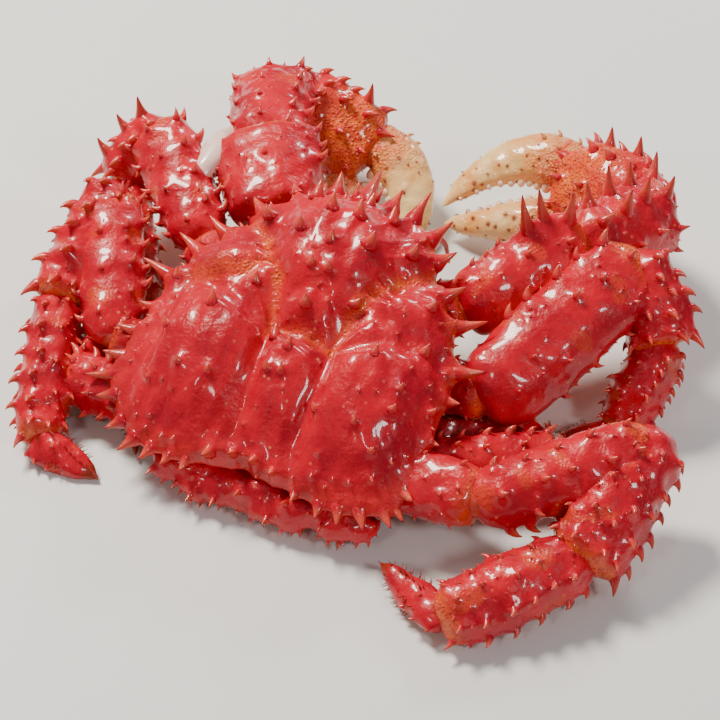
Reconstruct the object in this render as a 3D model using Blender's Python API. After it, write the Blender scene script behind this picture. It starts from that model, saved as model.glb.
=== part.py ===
"""Hanasaki crab, boiled and folded, as a still life-size model.

Every size is in millimetres and becomes metres when a mesh is made. +Y is the crab's
front, +X its right side and +Z up. The floor is z = 0, and the origin lies on it under
the middle of the back.
"""

import math

import bmesh
import bpy
import numpy as np
from mathutils import Vector
from mathutils.bvhtree import BVHTree

MM = 0.001
SOCKET_GAP = 0.34
SEGMENT_SIDES = 10

# The shell of the back
SHELL_CENTRE_Y = 2.0
RIM_MIDDLE_Z = 36.0
RIM_RISE = 0.36
RIM_EDGE = 1.2
DOME_HEIGHT = 13.5
DOME_POWER = 3.0
DOME_SHOULDER = 0.6
SHELL_FLOOR_DROP = 4.0
SHELL_SIDES = 44
SHELL_RINGS = (1.0, 0.96, 0.89, 0.8, 0.71, 0.62, 0.53, 0.44, 0.35, 0.26, 0.17, 0.08)
# How sharply the swellings fall off, and how sharply they are parted
SWELLING_EDGE = 3
SWELLING_BLEND = 4
# Half the shell's outline seen from above, from the middle of the front round to the rear
RIM = [
    (0, 54), (13, 49), (25, 47), (32, 38), (41, 25), (48, 15), (54, 2), (54.5, -8), (55, -22),
    (54.5, -31), (52, -39), (47.5, -45), (41, -48.5), (33, -50), (18, -50), (0, -48),
]
# The line between the two halves leans to the right towards the rear
MIDLINE_LEAN = 0.06
MIDLINE_START = 50.0
# Swellings of the shell: place, radius across and along, and height. Those off the midline
# are on both sides of it.
SWELLINGS = [
    (0, 20, 21, 25, 9.0), (0, -25, 12, 17, 6.5), (30, -24, 20, 22, 10.0), (37, 12, 13, 8, 5.5),
    (0, -2, 9, 9, 5.0), (27, 32, 9, 7, 3.5),
]
# Grooves between them: two ends, half width and depth
GROOVES = [
    ((0, -9), (11, -11), 3.4, 3.2), ((11, -11), (15, 6), 3.8, 3.8), ((15, 6), (24, 19), 3.8, 3.4),
    ((24, 19), (38, 33), 3.8, 2.6), ((11, -11), (29, -3), 3.4, 3.4), ((29, -3), (50, 3), 3.6, 2.8),
    ((12, -12), (11.5, -44), 3.8, 3.4),
]

# The trunk under the shell: half sizes at its top and base, and its base's height and rise
TRUNK_TOP = (31, 40)
TRUNK_BASE = (22, 30)
TRUNK_BASE_MIDDLE_Z = 13.0
TRUNK_BASE_RISE = 0.2

# The tail: a band behind the shell, and the flap folded under the trunk
BAND_MIDDLE = (6, -50, 12.4)
BAND_HALF_WIDTH = 43
BAND_FORWARD = 4
BAND_DROP = 5
BAND_SECTION = [(3, 0), (0, -3.5), (-5.5, -5.5), (-10, -3), (-12, 3), (-5, 9), (2, 8)]
FLAP_MIDDLE_Y = -18
FLAP_RINGS = [(19, 24, 0, 0), (22, 27, 4.4, 0.05), (17, 22, 9, 0.12)]

# Limbs: root on the trunk, then each segment's length, heading clockwise from the
# front and lift above the level, in millimetres and degrees
LEG_SEGMENTS = ["ischium", "merus", "carpus", "propodus", "dactylus"]
ARM_SEGMENTS = ["ischium", "merus", "carpus", "palm"]
LEGS = {
    "leg_right_2": (
        (26, 10, 22), [(39, 95, 8), (71.5, 26.2, 15.2), (28, 132, -43), (33, -167, -43), (25, -123, -6)],
    ),
    "leg_right_3": (
        (26, -10, 16), [(29, 108, -2), (43, 63, -3), (24, -66, -9), (37, -112, -2), (23, -45, -8)],
    ),
    "leg_right_4": (
        (24, -29, 13), [(54, 94, 10), (58, 52, 8), (43, -167, -23), (49, -137, -8), (32, -62, -2)],
    ),
    "leg_left_2": (
        (-26, 10, 22), [(38, -53, 15), (53, -44, 11), (23, -139, -50), (57, 148, -15), (28, 86, -8)],
    ),
    "leg_left_3": (
        (-26, -10, 16), [(41.2, -98.5, 11), (55.5, -29, 14.6), (42, 179, -19), (53, 162, -21), (27, 99, -7)],
    ),
    "leg_left_4": (
        (-24, -29, 13), [(17, -104, 3), (36, -85, -3), (22, 0, -8), (27, 128, -10), (25, 150, -2)],
    ),
}
ARMS = {
    "claw_right": ((26, 30, 30), [(20, 75, 18), (48, 39.7, 10.4), (39, 25, -13), (46, -67, -15)]),
    "claw_left": ((-26, 30, 30), [(21, -24, 28), (38, -29, 6), (40, -21, -11), (45, 95, -25)]),
}
# Half width and half depth of each segment
GIRTHS = {
    "leg_right_2": [(10, 8), (15.5, 10.5), (11.5, 9.5), (9.5, 8.5), (5, 4.2)],
    "leg_right_3": [(7.5, 7), (9.5, 8), (8.5, 7.5), (7.5, 7), (4.5, 4)],
    "leg_right_4": [(11.5, 9.5), (11.5, 9.5), (12.5, 9.5), (11.5, 9.5), (6.5, 4.5)],
    "leg_left_2": [(9, 8), (11.5, 9.5), (10, 9), (8.5, 7.5), (5, 4.2)],
    "leg_left_3": [(9, 8), (11.5, 9.5), (10.5, 9), (9, 8.5), (7, 4.5)],
    "leg_left_4": [(7.5, 7), (8.5, 7.5), (7.5, 7), (7, 6.5), (4.2, 3.6)],
    "claw_right": [(10.5, 9), (13.5, 11), (13.5, 12), (17, 11)],
    "claw_left": [(9, 8), (18.5, 12), (15.5, 12.5), (16, 11)],
}
# Along each segment: distance as a share of its length, and share of its girth
PROFILES = {
    "ischium": [(0.0, 0.8), (0.35, 1.0), (0.8, 0.95), (1.02, 0.8)],
    "merus": [(-0.06, 0.55), (0.05, 0.84), (0.4, 1.0), (0.85, 1.02), (1.05, 0.55)],
    "carpus": [(-0.2, 0.5), (0.0, 0.85), (0.5, 1.0), (0.9, 0.96), (1.06, 0.55)],
    "propodus": [(-0.08, 0.55), (0.12, 0.9), (0.55, 1.0), (0.9, 0.88), (1.03, 0.55)],
    "dactylus": [(-0.08, 0.6), (0.15, 1.0), (0.5, 0.85), (0.85, 0.4), (1.0, 0.08)],
    "palm": [(-0.12, 0.45), (0.05, 0.72), (0.4, 1.0), (0.8, 0.98), (1.0, 0.8)],
    "finger": [(0.0, 0.85), (0.25, 1.0), (0.55, 0.8), (0.85, 0.45), (1.0, 0.12)],
}
# The upper leg that is broader at its near end than at its far end
BROAD_START = {"leg_right_2_merus": 0.3}
# Where a finger starts, the point that bends it and its tip, from the palm's far end:
# along the palm, across its broad face and out of that face
FINGERS = {
    "fixed_finger": [(-6, -13, 2), (10, -24, 8), (32, -33, 15)],
    "finger": [(-5, 6, 1), (26, 9, 8), (33, -28, 19)],
}
FINGER_GIRTHS = {"fixed_finger": (8.5, 6.5), "finger": (10.5, 7)}
FACE_TOWARDS = Vector((0.28, -0.63, 0.72))

# The head, on the right side: the left one is its mirror image. Points and half thickness.
HEAD = {
    "eyestalk": ("feeler", [((4, 36, 40), 2.6), ((5.5, 46, 42.5), 2.4), ((7.3, 54, 44.3), 2.3)]),
    "eye": ("eye", [((7.3, 54, 44.3), 2.5), ((8, 56.6, 45), 3.0), ((8.5, 58.6, 45.4), 1.6)]),
    "antenna_base": ("shell", [((13, 34, 38), 4.2), ((16, 48, 42), 3.8), ((18.5, 56, 42), 2.6)]),
    "antenna": (
        "feeler",
        [((18.5, 56, 42), 1.5), ((21, 63, 38), 1.2), ((23.5, 69, 29), 0.9), ((24.5, 71, 18), 0.5)],
    ),
    "antennule": (
        "feeler",
        [((2.2, 36, 37), 1.8), ((2.8, 52, 38.5), 1.4), ((4, 59, 41), 0.9), ((4.6, 61, 44.5), 0.5)],
    ),
    "jaw_foot": (
        "belly",
        [((7, 33, 28), 4.2), ((7.5, 44, 29.5), 4.4), ((7.5, 50, 32.5), 3.0), ((7, 51.5, 35.5), 1.5)],
    ),
}

# Spines: sides, base radius as a share of length, largest base radius, least length, depth
# of the root, lean towards the limb's far end, how much they vary and how clear they stay
# of other parts
SPINE_SIDES = 5
SPINE_WIDTH = 0.32
SHELL_SPINE_WIDTH = 0.4
SPINE_BROADEST = 3.4
SPINE_SHORTEST = 1.6
SPINE_ROOT = 1.7
SPINE_LEAN = 0.3
SPINE_VARIATION = 0.14
SPINE_CLEARANCE = 0.4
SPINE_CUT_DOWN = 0.6
# A distance beyond any segment's surface
OUTSIDE = 40.0
# Tips of the shell's spines: round its rim from the front to the rear, then on its back
RIM_TIPS_RIGHT = [
    (12, 55, 59.5), (23, 56.5, 60), (32, 50, 57), (37, 41, 54), (46, 28.5, 50), (56, 21.5, 46),
    (62, 4.5, 41), (59, -7, 35), (58, -23, 30), (60, -31.5, 26), (59, -37, 24), (58, -42, 22.5),
    (55.5, -47.5, 20), (53, -50.5, 19), (45.7, -54, 17.6), (37, -55.5, 17), (29, -55.4, 17),
    (20.4, -53.4, 18), (11.5, -51.5, 24.5), (4.4, -50.3, 26),
]
RIM_TIPS_LEFT = [
    (-12, 55, 60), (-17.5, 52, 57), (-25.2, 49.5, 55.2), (-37, 42.5, 50.5), (-48, 30.4, 48),
    (-56.6, 19.4, 44), (-64.3, 6.4, 39.3), (-59, -6.6, 34.6), (-61.7, -17, 31), (-62, -28, 28),
    (-65, -35.5, 25), (-58.5, -41.5, 22), (-50.6, -50, 19), (-43, -55, 17), (-34.8, -55.8, 17),
    (-27, -56, 17), (-20, -55.7, 17), (-12.5, -53.1, 25), (-4.1, -50, 26),
]
BACK_TIPS = [
    (-11, 21, 67), (-4, 32, 70), (6, 33, 70), (5, 46, 65), (2, 18, 68), (15, 22, 67), (-1, 8, 64),
    (5, 8, 64), (2, -4, 57), (18, 4, 55), (28, 29, 61), (-27, 28, 60), (-14, 41, 63), (15, 41, 63),
    (41, 14, 54), (-2, -27, 47), (4, -27, 48), (3, -17, 53), (-5, -12, 48), (-19, 2, 55),
    (-28, -12, 56), (-50, 2, 45), (-42, -21, 46), (-31, -34, 44), (-42, -38, 36), (-19, -35, 45),
    (31, -10, 55), (45, 0, 48), (18, -32, 41), (34, -35, 44), (44, -26, 45), (44, -19, 48),
    (54, -15, 37), (42, -39, 37), (57, -24, 31),
]
BACK_SPINE_LENGTH = 5.0
FORWARD_LEAN = Vector((0, 0.35, 0))
# The broad spike between the eyes and the smaller one under it: foot, tip and base radius
FRONT_SPIKES = [((0, 48, 56), (0, 65, 59.6), 5.0), ((0, 47, 51.5), (0, 60, 50.5), 2.6)]
TAIL_TIPS = [(-26, -60, 6), (-8, -62, 7), (9, -62, 7), (26, -60, 6), (38, -57, 8)]
# Rows along each segment: angle round it from its rear edge over its upper face, first
# and last place as shares of its length, how many, and their length
SPINE_ROWS = {
    "ischium": [(150, 0.4, 0.9, 3, 3.4), (90, 0.45, 0.85, 2, 2.6)],
    "merus": [
        (165, 0.12, 0.95, 6, 5.0), (125, 0.2, 0.95, 4, 3.8), (75, 0.12, 0.9, 4, 2.8),
        (20, 0.12, 0.92, 5, 4.2), (-15, 0.3, 0.9, 3, 4.0),
    ],
    "carpus": [
        (155, -0.02, 0.95, 5, 6.2), (115, -0.05, 0.9, 5, 6.0), (72, 0.0, 0.88, 4, 4.4),
        (25, 0.0, 0.9, 4, 4.2), (-15, 0.2, 0.85, 3, 4.0),
    ],
    "propodus": [
        (150, 0.05, 0.97, 6, 4.6), (108, 0.1, 0.92, 6, 4.4), (65, 0.05, 0.9, 5, 3.2),
        (22, 0.1, 0.9, 5, 3.6), (-20, 0.2, 0.85, 3, 3.6), (-165, 0.15, 0.85, 3, 3.8),
    ],
    "dactylus": [(140, 0.0, 0.36, 3, 2.4), (70, 0.0, 0.3, 2, 2.2)],
    "palm": [
        (15, 0.25, 0.98, 6, 6.4), (48, 0.1, 0.95, 5, 6.0), (85, 0.1, 0.9, 4, 4.6),
        (125, 0.1, 0.9, 5, 3.8), (165, 0.1, 0.85, 4, 4.6),
    ],
    "fixed_finger": [],
    "finger": [],
}
OWN_SPINE_ROWS = {
    "claw_right_merus": [
        (150, 0.62, 0.78, 2, 13.5), (135, 0.93, 0.93, 1, 10.0), (165, 0.15, 0.42, 3, 4.8),
        (110, 0.55, 0.85, 2, 5.0), (20, 0.3, 0.9, 3, 4.0),
    ],
    "claw_left_merus": [(160, 0.55, 0.9, 3, 6.0), (90, 0.5, 0.6, 1, 4.5), (15, 0.3, 0.9, 3, 3.6)],
    "leg_right_2_merus": [
        (162, 0.3, 0.92, 5, 6.4), (110, 0.6, 0.95, 3, 4.8), (60, 0.35, 0.8, 2, 2.6), (10, 0.3, 0.9, 4, 4.0),
    ],
}
# Legs that lie under the others carry this share of the rows' spines
HIDDEN_LEGS = ("leg_right_3", "leg_left_4")
HIDDEN_SHARE = 0.5

# Colours of the boiled shell, and how rough each is
FINISHES = {
    "shell": ((0.62, 0.02, 0.02, 1), 0.25),
    "belly": ((0.66, 0.16, 0.07, 1), 0.35),
    "claw": ((0.80, 0.50, 0.28, 1), 0.3),
    "feeler": ((0.55, 0.04, 0.02, 1), 0.35),
    "eye": ((0.01, 0.008, 0.008, 1), 0.08),
}


def clear_scene():
    for obj in list(bpy.data.objects):
        bpy.data.objects.remove(obj)


def finish(name):
    """The material of that name, made when it is first asked for."""
    found = bpy.data.materials.get(name)
    if found:
        return found
    colour, roughness = FINISHES[name]
    made = bpy.data.materials.new(name)
    made.use_nodes = True
    shader = made.node_tree.nodes["Principled BSDF"]
    shader.inputs["Base Color"].default_value = colour
    shader.inputs["Roughness"].default_value = roughness
    shader.inputs["Metallic"].default_value = 0.0
    return made


def closed_mesh(name, rings, pole=None):
    """Rings of points joined into one closed skin, its ends flat, or the last drawn to a pole."""
    mesh = bmesh.new()
    rows = [[mesh.verts.new(Vector(p) * MM) for p in ring] for ring in rings]
    for low, high in zip(rows, rows[1:]):
        for i in range(len(low)):
            j = (i + 1) % len(low)
            mesh.faces.new((low[i], low[j], high[j], high[i]))
    mesh.faces.new(rows[0])
    last = rows[-1]
    if pole is None:
        mesh.faces.new(last)
    else:
        tip = mesh.verts.new(Vector(pole) * MM)
        for i in range(len(last)):
            mesh.faces.new((last[i], last[(i + 1) % len(last)], tip))
    bmesh.ops.triangulate(mesh, faces=mesh.faces)
    bmesh.ops.recalc_face_normals(mesh, faces=mesh.faces)
    data = bpy.data.meshes.new(name)
    mesh.to_mesh(data)
    mesh.free()
    return data


def add_object(name, data, colour="shell"):
    made = bpy.data.objects.new(name, data)
    bpy.context.scene.collection.objects.link(made)
    if not data.materials:
        data.materials.append(finish(colour))
    return made


def rim_radius(turns):
    """Distance from the shell's centre to its rim at these angles from the front."""
    points = np.array(RIM, float) - (0, SHELL_CENTRE_Y)
    angles = np.arctan2(points[:, 0], points[:, 1])
    folded = np.abs((np.asarray(turns) + math.pi) % (2 * math.pi) - math.pi)
    return np.interp(folded, angles, np.hypot(*points.T))


def near_line(x, y, start, end, width):
    """One on the line from start to end, falling to nothing past its half width."""
    sx, sy = start
    dx, dy = end[0] - sx, end[1] - sy
    t = np.clip(((x - sx) * dx + (y - sy) * dy) / (dx * dx + dy * dy), 0, 1)
    return np.exp(-((x - sx - t * dx) ** 2 + (y - sy - t * dy) ** 2) / width**2)


def rim_plane(y):
    return RIM_MIDDLE_Z + RIM_RISE * y


def shell_top(x, y):
    """Height of the back: a dome over the rim's plane, with swellings and grooves."""
    share = np.hypot(x, y - SHELL_CENTRE_Y) / rim_radius(np.arctan2(x, y - SHELL_CENTRE_Y))
    inside = np.clip(1 - share**DOME_POWER, 0, 1)
    shape = DOME_HEIGHT * inside**DOME_SHOULDER
    side = np.abs(x - MIDLINE_LEAN * (MIDLINE_START - y))
    raised = 0.0
    for cx, cy, across, lengthwise, height in SWELLINGS:
        away = np.hypot((side - cx) / across, (y - cy) / lengthwise)
        raised = raised + (height * np.exp(-(away**SWELLING_EDGE))) ** SWELLING_BLEND
    shape = shape + raised ** (1 / SWELLING_BLEND) * inside**0.5
    sunk = [depth * near_line(side, y, start, end, width) for start, end, width, depth in GROOVES]
    return rim_plane(y) + shape - np.max(sunk, axis=0) * inside**0.7


def shell_ring(share, height):
    turns = np.linspace(0, 2 * math.pi, SHELL_SIDES, endpoint=False)
    x = share * rim_radius(turns) * np.sin(turns)
    y = share * rim_radius(turns) * np.cos(turns) + SHELL_CENTRE_Y
    return np.stack([x, y, height(x, y)], axis=1)


def make_carapace():
    def under(x, y):
        return rim_plane(y) - SHELL_FLOOR_DROP

    def edge(x, y):
        return rim_plane(y) - RIM_EDGE

    rings = [shell_ring(0.93, under), shell_ring(1.0, edge)]
    rings += [shell_ring(share, shell_top) for share in SHELL_RINGS]
    pole = (0, SHELL_CENTRE_Y, float(shell_top(0.001, SHELL_CENTRE_Y)))
    return add_object("carapace", closed_mesh("carapace", rings, pole))


def oval(half_x, half_y, middle_y, height, sides=16, squareness=0.75):
    """A rounded oblong ring, its height given as a function of y."""
    turns = np.linspace(0, 2 * math.pi, sides, endpoint=False)
    x = half_x * np.sign(np.sin(turns)) * np.abs(np.sin(turns)) ** squareness
    y = half_y * np.sign(np.cos(turns)) * np.abs(np.cos(turns)) ** squareness + middle_y
    return np.stack([x, y, height(y)], axis=1)


def make_trunk():
    def top(y):
        return rim_plane(y) - SHELL_FLOOR_DROP - SOCKET_GAP

    def base(y):
        return TRUNK_BASE_MIDDLE_Z + TRUNK_BASE_RISE * y

    def middle(y):
        return 0.45 * top(y) + 0.55 * base(y)

    rings = [
        oval(*TRUNK_BASE, 3, base),
        oval(TRUNK_BASE[0] + 5, TRUNK_BASE[1] + 5, 2, middle),
        oval(*TRUNK_TOP, 1, top),
    ]
    return add_object("trunk", closed_mesh("trunk", rings), "belly")


def make_tail_base():
    """The first tail segments: a convex band across the rear, shrinking to its ends."""
    mid_x, mid_y, mid_z = BAND_MIDDLE
    rings = []
    for turn in np.linspace(-1, 1, 11):
        size = 0.3 + 0.7 * math.sqrt(1 - (turn * 0.95) ** 2)
        ring = []
        for lift, out in BAND_SECTION:
            y = mid_y + BAND_FORWARD + (out - BAND_DROP) * size
            ring.append((mid_x + BAND_HALF_WIDTH * turn, y, mid_z + lift * size))
        rings.append(ring)
    return add_object("tail_base", closed_mesh("tail_base", rings))


def make_tail_flap():
    def height(base, rise):
        return lambda y: base + rise * (y - FLAP_MIDDLE_Y)

    rings = []
    for half_x, half_y, base, rise in FLAP_RINGS:
        rings.append(oval(half_x, half_y, FLAP_MIDDLE_Y, height(base, rise)))
    return add_object("tail_flap", closed_mesh("tail_flap", rings), "belly")


def along(length, heading, lift):
    level = length * math.cos(math.radians(lift))
    turn = math.radians(heading)
    return Vector((level * math.sin(turn), level * math.cos(turn), length * math.sin(math.radians(lift))))


def frame_of(step):
    """Unit vectors along a segment, across its broad face and out of that face."""
    axis = step.normalized()
    face = (FACE_TOWARDS - axis * FACE_TOWARDS.dot(axis)).normalized()
    return axis, axis.cross(face), face


def ring_at(middle, across, face, girth, size, sides=SEGMENT_SIDES):
    turns = np.linspace(0, 2 * math.pi, sides, endpoint=False) + math.pi / sides
    return [
        middle + across * (girth[0] * size * math.cos(turn)) + face * (girth[1] * size * math.sin(turn))
        for turn in turns
    ]


def straight_tube(start, step, girth, profile, broad_start):
    axis, across, face = frame_of(step)
    rings = []
    for share, size in profile:
        size *= 1 + broad_start * (0.5 - share)
        rings.append(ring_at(start + step * share, across, face, girth, size))
    return rings


def bent_tube(start, bend, tip, girth, profile, face):
    """Rings along the curve that leaves start towards bend and comes to tip from there."""
    rings = []
    for share, size in profile:
        middle = start * (1 - share) ** 2 + bend * (2 * share * (1 - share)) + tip * share**2
        axis = ((bend - start) * (1 - share) + (tip - bend) * share).normalized()
        across = axis.cross(face).normalized()
        rings.append(ring_at(middle, across, across.cross(axis), girth, size))
    return rings


def make_limb(name, root, moves, segments):
    """One node for each segment, and the place and step of each for its spines."""
    start = Vector(root)
    nodes, places = [], []
    for segment, move, girth in zip(segments, moves, GIRTHS[name]):
        step = along(*move)
        full = f"{name}_{segment}"
        rings = straight_tube(start, step, girth, PROFILES[segment], BROAD_START.get(full, 0))
        nodes.append(add_object(full, closed_mesh(full, rings)))
        places.append((nodes[-1], segment, start.copy(), step))
        start = start + step
    return nodes, places


def make_arm(name, root, moves):
    """An arm: past its palm each finger is a node of its own."""
    nodes, places = make_limb(name, root, moves, ARM_SEGMENTS)
    _, _, start, step = places[-1]
    end = start + step
    axis, across, face = frame_of(step)
    if name.endswith("left"):
        across = -across
    for part, points in FINGERS.items():
        start, bend, tip = [end + axis * a + across * b + face * c for a, b, c in points]
        full = f"{name}_{part}"
        rings = bent_tube(start, bend, tip, FINGER_GIRTHS[part], PROFILES["finger"], face)
        nodes.append(add_object(full, closed_mesh(full, rings), "claw"))
    return nodes, places


def make_head():
    """Eyes on short stalks, two pairs of feelers and the jaw feet, under the front spike."""
    nodes = []
    for side, sign in (("right", 1), ("left", -1)):
        for part, (colour, stations) in HEAD.items():
            path = [Vector((sign * x, y, z)) for (x, y, z), _ in stations]
            rings = []
            for i, (point, (_, radius)) in enumerate(zip(path, stations)):
                axis = (path[min(i + 1, len(path) - 1)] - path[max(i - 1, 0)]).normalized()
                across = axis.cross(Vector((0, 0, 1))).normalized()
                rings.append(ring_at(point, across, across.cross(axis), (radius, radius), 1))
            full = f"{part}_{side}"
            nodes.append(add_object(full, closed_mesh(full, rings), colour))
    return nodes


def apply_boolean(node, operation, helpers):
    """Joins the helper objects to the node, or cuts them out, and removes them."""
    group = bpy.data.collections.new("helpers")
    bpy.context.scene.collection.children.link(group)
    for helper in helpers:
        group.objects.link(helper)
    change = node.modifiers.new("change", "BOOLEAN")
    change.operation = operation
    change.solver = "EXACT"
    change.operand_type = "COLLECTION"
    change.collection = group
    graph = bpy.context.evaluated_depsgraph_get()
    data = bpy.data.meshes.new_from_object(node.evaluated_get(graph))
    node.modifiers.clear()
    node.data = data
    for helper in helpers:
        bpy.data.objects.remove(helper)
    bpy.data.collections.remove(group)
    keep_largest(node)


def fuse(node, meshes):
    helpers = [bpy.data.objects.new("joined", data) for data in meshes]
    apply_boolean(node, "UNION", helpers)


def keep_largest(node):
    """Drops every loose scrap but the largest closed surface."""
    mesh = bmesh.new()
    mesh.from_mesh(node.data)
    left = set(mesh.verts)
    pieces = []
    while left:
        stack = [left.pop()]
        piece = set(stack)
        while stack:
            for edge in stack.pop().link_edges:
                for vert in edge.verts:
                    if vert in left:
                        left.discard(vert)
                        piece.add(vert)
                        stack.append(vert)
        pieces.append(piece)
    pieces.sort(key=len)
    for piece in pieces[:-1]:
        bmesh.ops.delete(mesh, geom=list(piece), context="VERTS")
    bmesh.ops.triangulate(mesh, faces=mesh.faces)
    mesh.to_mesh(node.data)
    mesh.free()


def swollen(node, by):
    """A copy of the node's mesh grown by that much on every side."""
    mesh = bmesh.new()
    mesh.from_mesh(node.data)
    mesh.normal_update()
    places = [vert.co + vert.normal * (by * MM * vert.calc_shell_factor()) for vert in mesh.verts]
    for vert, place in zip(mesh.verts, places):
        vert.co = place
    data = bpy.data.meshes.new("swollen")
    mesh.to_mesh(data)
    mesh.free()
    return data


def tree_of(data):
    mesh = bmesh.new()
    mesh.from_mesh(data)
    tree = BVHTree.FromBMesh(mesh)
    mesh.free()
    return tree


def fit_sockets(nodes):
    """Cuts each node clear of the ones before it, so that they meet face to face."""
    grown = []
    for node in nodes:
        whole = swollen(node, SOCKET_GAP)
        tree = tree_of(node.data)
        cutters = [data for data, other in grown if other.overlap(tree)]
        for data in cutters:
            apply_boolean(node, "DIFFERENCE", [bpy.data.objects.new("socket", data)])
        grown.append((whole, tree_of(whole)))
    for data, _ in grown:
        bpy.data.meshes.remove(data)


def cut_at_floor(node):
    """Flattens what would reach below the floor."""
    mesh = bmesh.new()
    mesh.from_mesh(node.data)
    if min(vert.co.z for vert in mesh.verts) < 0:
        geometry = list(mesh.verts) + list(mesh.edges) + list(mesh.faces)
        cut = bmesh.ops.bisect_plane(mesh, geom=geometry, plane_no=(0, 0, 1), clear_inner=True)
        edges = [item for item in cut["geom_cut"] if isinstance(item, bmesh.types.BMEdge)]
        bmesh.ops.holes_fill(mesh, edges=edges)
        bmesh.ops.triangulate(mesh, faces=mesh.faces)
        mesh.to_mesh(node.data)
    mesh.free()


def tree_in_mm(node):
    points = [vert.co / MM for vert in node.data.vertices]
    return BVHTree.FromPolygons(points, [tuple(face.vertices) for face in node.data.polygons])


def spine_ring(foot, lean, length, radius, share):
    """The ring round a spine's axis at a share of its length, below the foot if negative."""
    across = lean.orthogonal().normalized()
    size = radius * (1 - share)
    return ring_at(foot + lean * (length * share), across, lean.cross(across), (size, size), 1, SPINE_SIDES)


def spine_mesh(spine):
    foot, lean, length, _ = spine
    return closed_mesh("spine", [spine_ring(*spine, -SPINE_ROOT / length)], foot + lean * length)


def spine_samples(spine):
    """Points on a spine's axis with its radius there, and the corners of its root."""
    foot, lean, length, radius = spine
    samples = [(foot + lean * (length * share), radius * (1 - share)) for share in (0.15, 0.4, 0.7, 1.0)]
    return samples + [(point, 0.0) for point in spine_ring(*spine, -SPINE_ROOT / length)]


def is_clear(node, spine, trees, placed):
    """Whether a spine stays above the floor and off every other node and its spines."""
    for point, radius in spine_samples(spine):
        room = radius + SPINE_CLEARANCE
        if point.z < room:
            return False
        for other, tree in trees.items():
            if other == node.name:
                continue
            near, normal, _, _ = tree.find_nearest(point, 12.0)
            if near and ((point - near).length < room or (point - near).dot(normal) < 0):
                return False
        for other, taken, other_radius in placed:
            if other != node.name and (point - taken).length < room + other_radius:
                return False
    return True


def try_spine(node, spine, trees, placed, grown):
    """Adds a spine where it is clear, shorter if need be, and leaves it out where none is."""
    foot, lean, length, radius = spine
    while length > SPINE_SHORTEST:
        if is_clear(node, (foot, lean, length, radius), trees, placed):
            placed += [(node.name, *sample) for sample in spine_samples((foot, lean, length, radius))]
            grown.append(spine_mesh((foot, lean, length, radius)))
            return
        length *= SPINE_CUT_DOWN
        radius *= SPINE_CUT_DOWN


def varied(value, rng):
    return value * (1 + SPINE_VARIATION * rng.uniform(-1, 1))


def spine_to(tree, tip, width):
    """A spine that reaches from the surface's nearest point to that tip."""
    foot = tree.find_nearest(tip)[0]
    reach = (tip - foot).length
    return foot, (tip - foot).normalized(), reach, min(width * reach, SPINE_BROADEST)


def shell_spines(tree, rng):
    """Spines round the shell's rim and over its back, and the spikes between the eyes."""
    spines = []
    for foot, tip, radius in FRONT_SPIKES:
        whole = Vector(tip) - Vector(foot)
        spines.append((Vector(foot), whole.normalized(), whole.length, radius))
    for tip in map(Vector, RIM_TIPS_RIGHT + RIM_TIPS_LEFT):
        spines.append(spine_to(tree, tip, SHELL_SPINE_WIDTH))
    for tip in map(Vector, BACK_TIPS):
        foot, normal, _, _ = tree.find_nearest(tip)
        reach = varied(BACK_SPINE_LENGTH, rng)
        spines.append((foot, (normal + FORWARD_LEAN).normalized(), reach, SHELL_SPINE_WIDTH * reach))
    return spines


def row_spines(tree, name, segment, start, step, rng):
    """Rows of spines along a segment, each leaning towards its far end."""
    axis, across, face = frame_of(step)
    spines = []
    for turn, first, last, count, length in OWN_SPINE_ROWS.get(name, SPINE_ROWS[segment]):
        if name.startswith(HIDDEN_LEGS):
            count = math.ceil(count * HIDDEN_SHARE)
        for share in np.linspace(first, last, count):
            angle = math.radians((180 - turn if "left" in name else turn) + rng.uniform(-8, 8))
            out = across * math.cos(angle) + face * math.sin(angle)
            middle = start + step * (share + rng.uniform(-0.03, 0.03))
            hit, normal, _, _ = tree.ray_cast(middle + out * OUTSIDE, -out)
            if hit is None or (hit - middle).dot(out) < 0:
                continue
            lean = (normal + axis * SPINE_LEAN).normalized()
            reach = varied(length, rng)
            spines.append((hit, lean, reach, min(SPINE_WIDTH * reach, SPINE_BROADEST)))
    return spines


def grow_spines(nodes, places):
    rng = np.random.default_rng(7)
    trees = {node.name: tree_in_mm(node) for node in nodes}
    tail = [spine_to(trees["tail_base"], Vector(tip), SPINE_WIDTH) for tip in TAIL_TIPS]
    wanted = [(nodes[0], shell_spines(trees["carapace"], rng)), (nodes[2], tail)]
    for node, segment, start, step in places:
        wanted.append((node, row_spines(trees[node.name], node.name, segment, start, step, rng)))
    placed = []
    for node, spines in wanted:
        grown = []
        for spine in spines:
            try_spine(node, spine, trees, placed, grown)
        if grown:
            fuse(node, grown)


def main():
    clear_scene()
    nodes = [make_carapace(), make_trunk(), make_tail_base(), make_tail_flap()]
    places = []
    for name, (root, moves) in ARMS.items():
        made, found = make_arm(name, root, moves)
        nodes += made
        places += found
    for name, (root, moves) in LEGS.items():
        made, found = make_limb(name, root, moves, LEG_SEGMENTS)
        nodes += made
        places += found
    nodes += make_head()
    for node in nodes:
        cut_at_floor(node)
    fit_sockets(nodes)
    grow_spines(nodes, places)
    for node in nodes:
        node.data.shade_smooth()
        node.data.set_sharp_from_angle(angle=math.radians(50))


main()
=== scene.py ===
# %% [markdown]
# # A boiled hanasaki crab, life-size
#
# The hanasaki crab is a short, stout king crab. Boiling turns its olive shell scarlet.
# This notebook dresses the plain solids of the model with the real surface: swollen
# regions, thorns of every size, granules, wet gloss, ivory fingers, eyes and feelers.
# Every size is in millimetres until a mesh is made. +Y is the crab's front, +X its
# right side, +Z up, and the floor is z = 0.

import math

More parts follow.
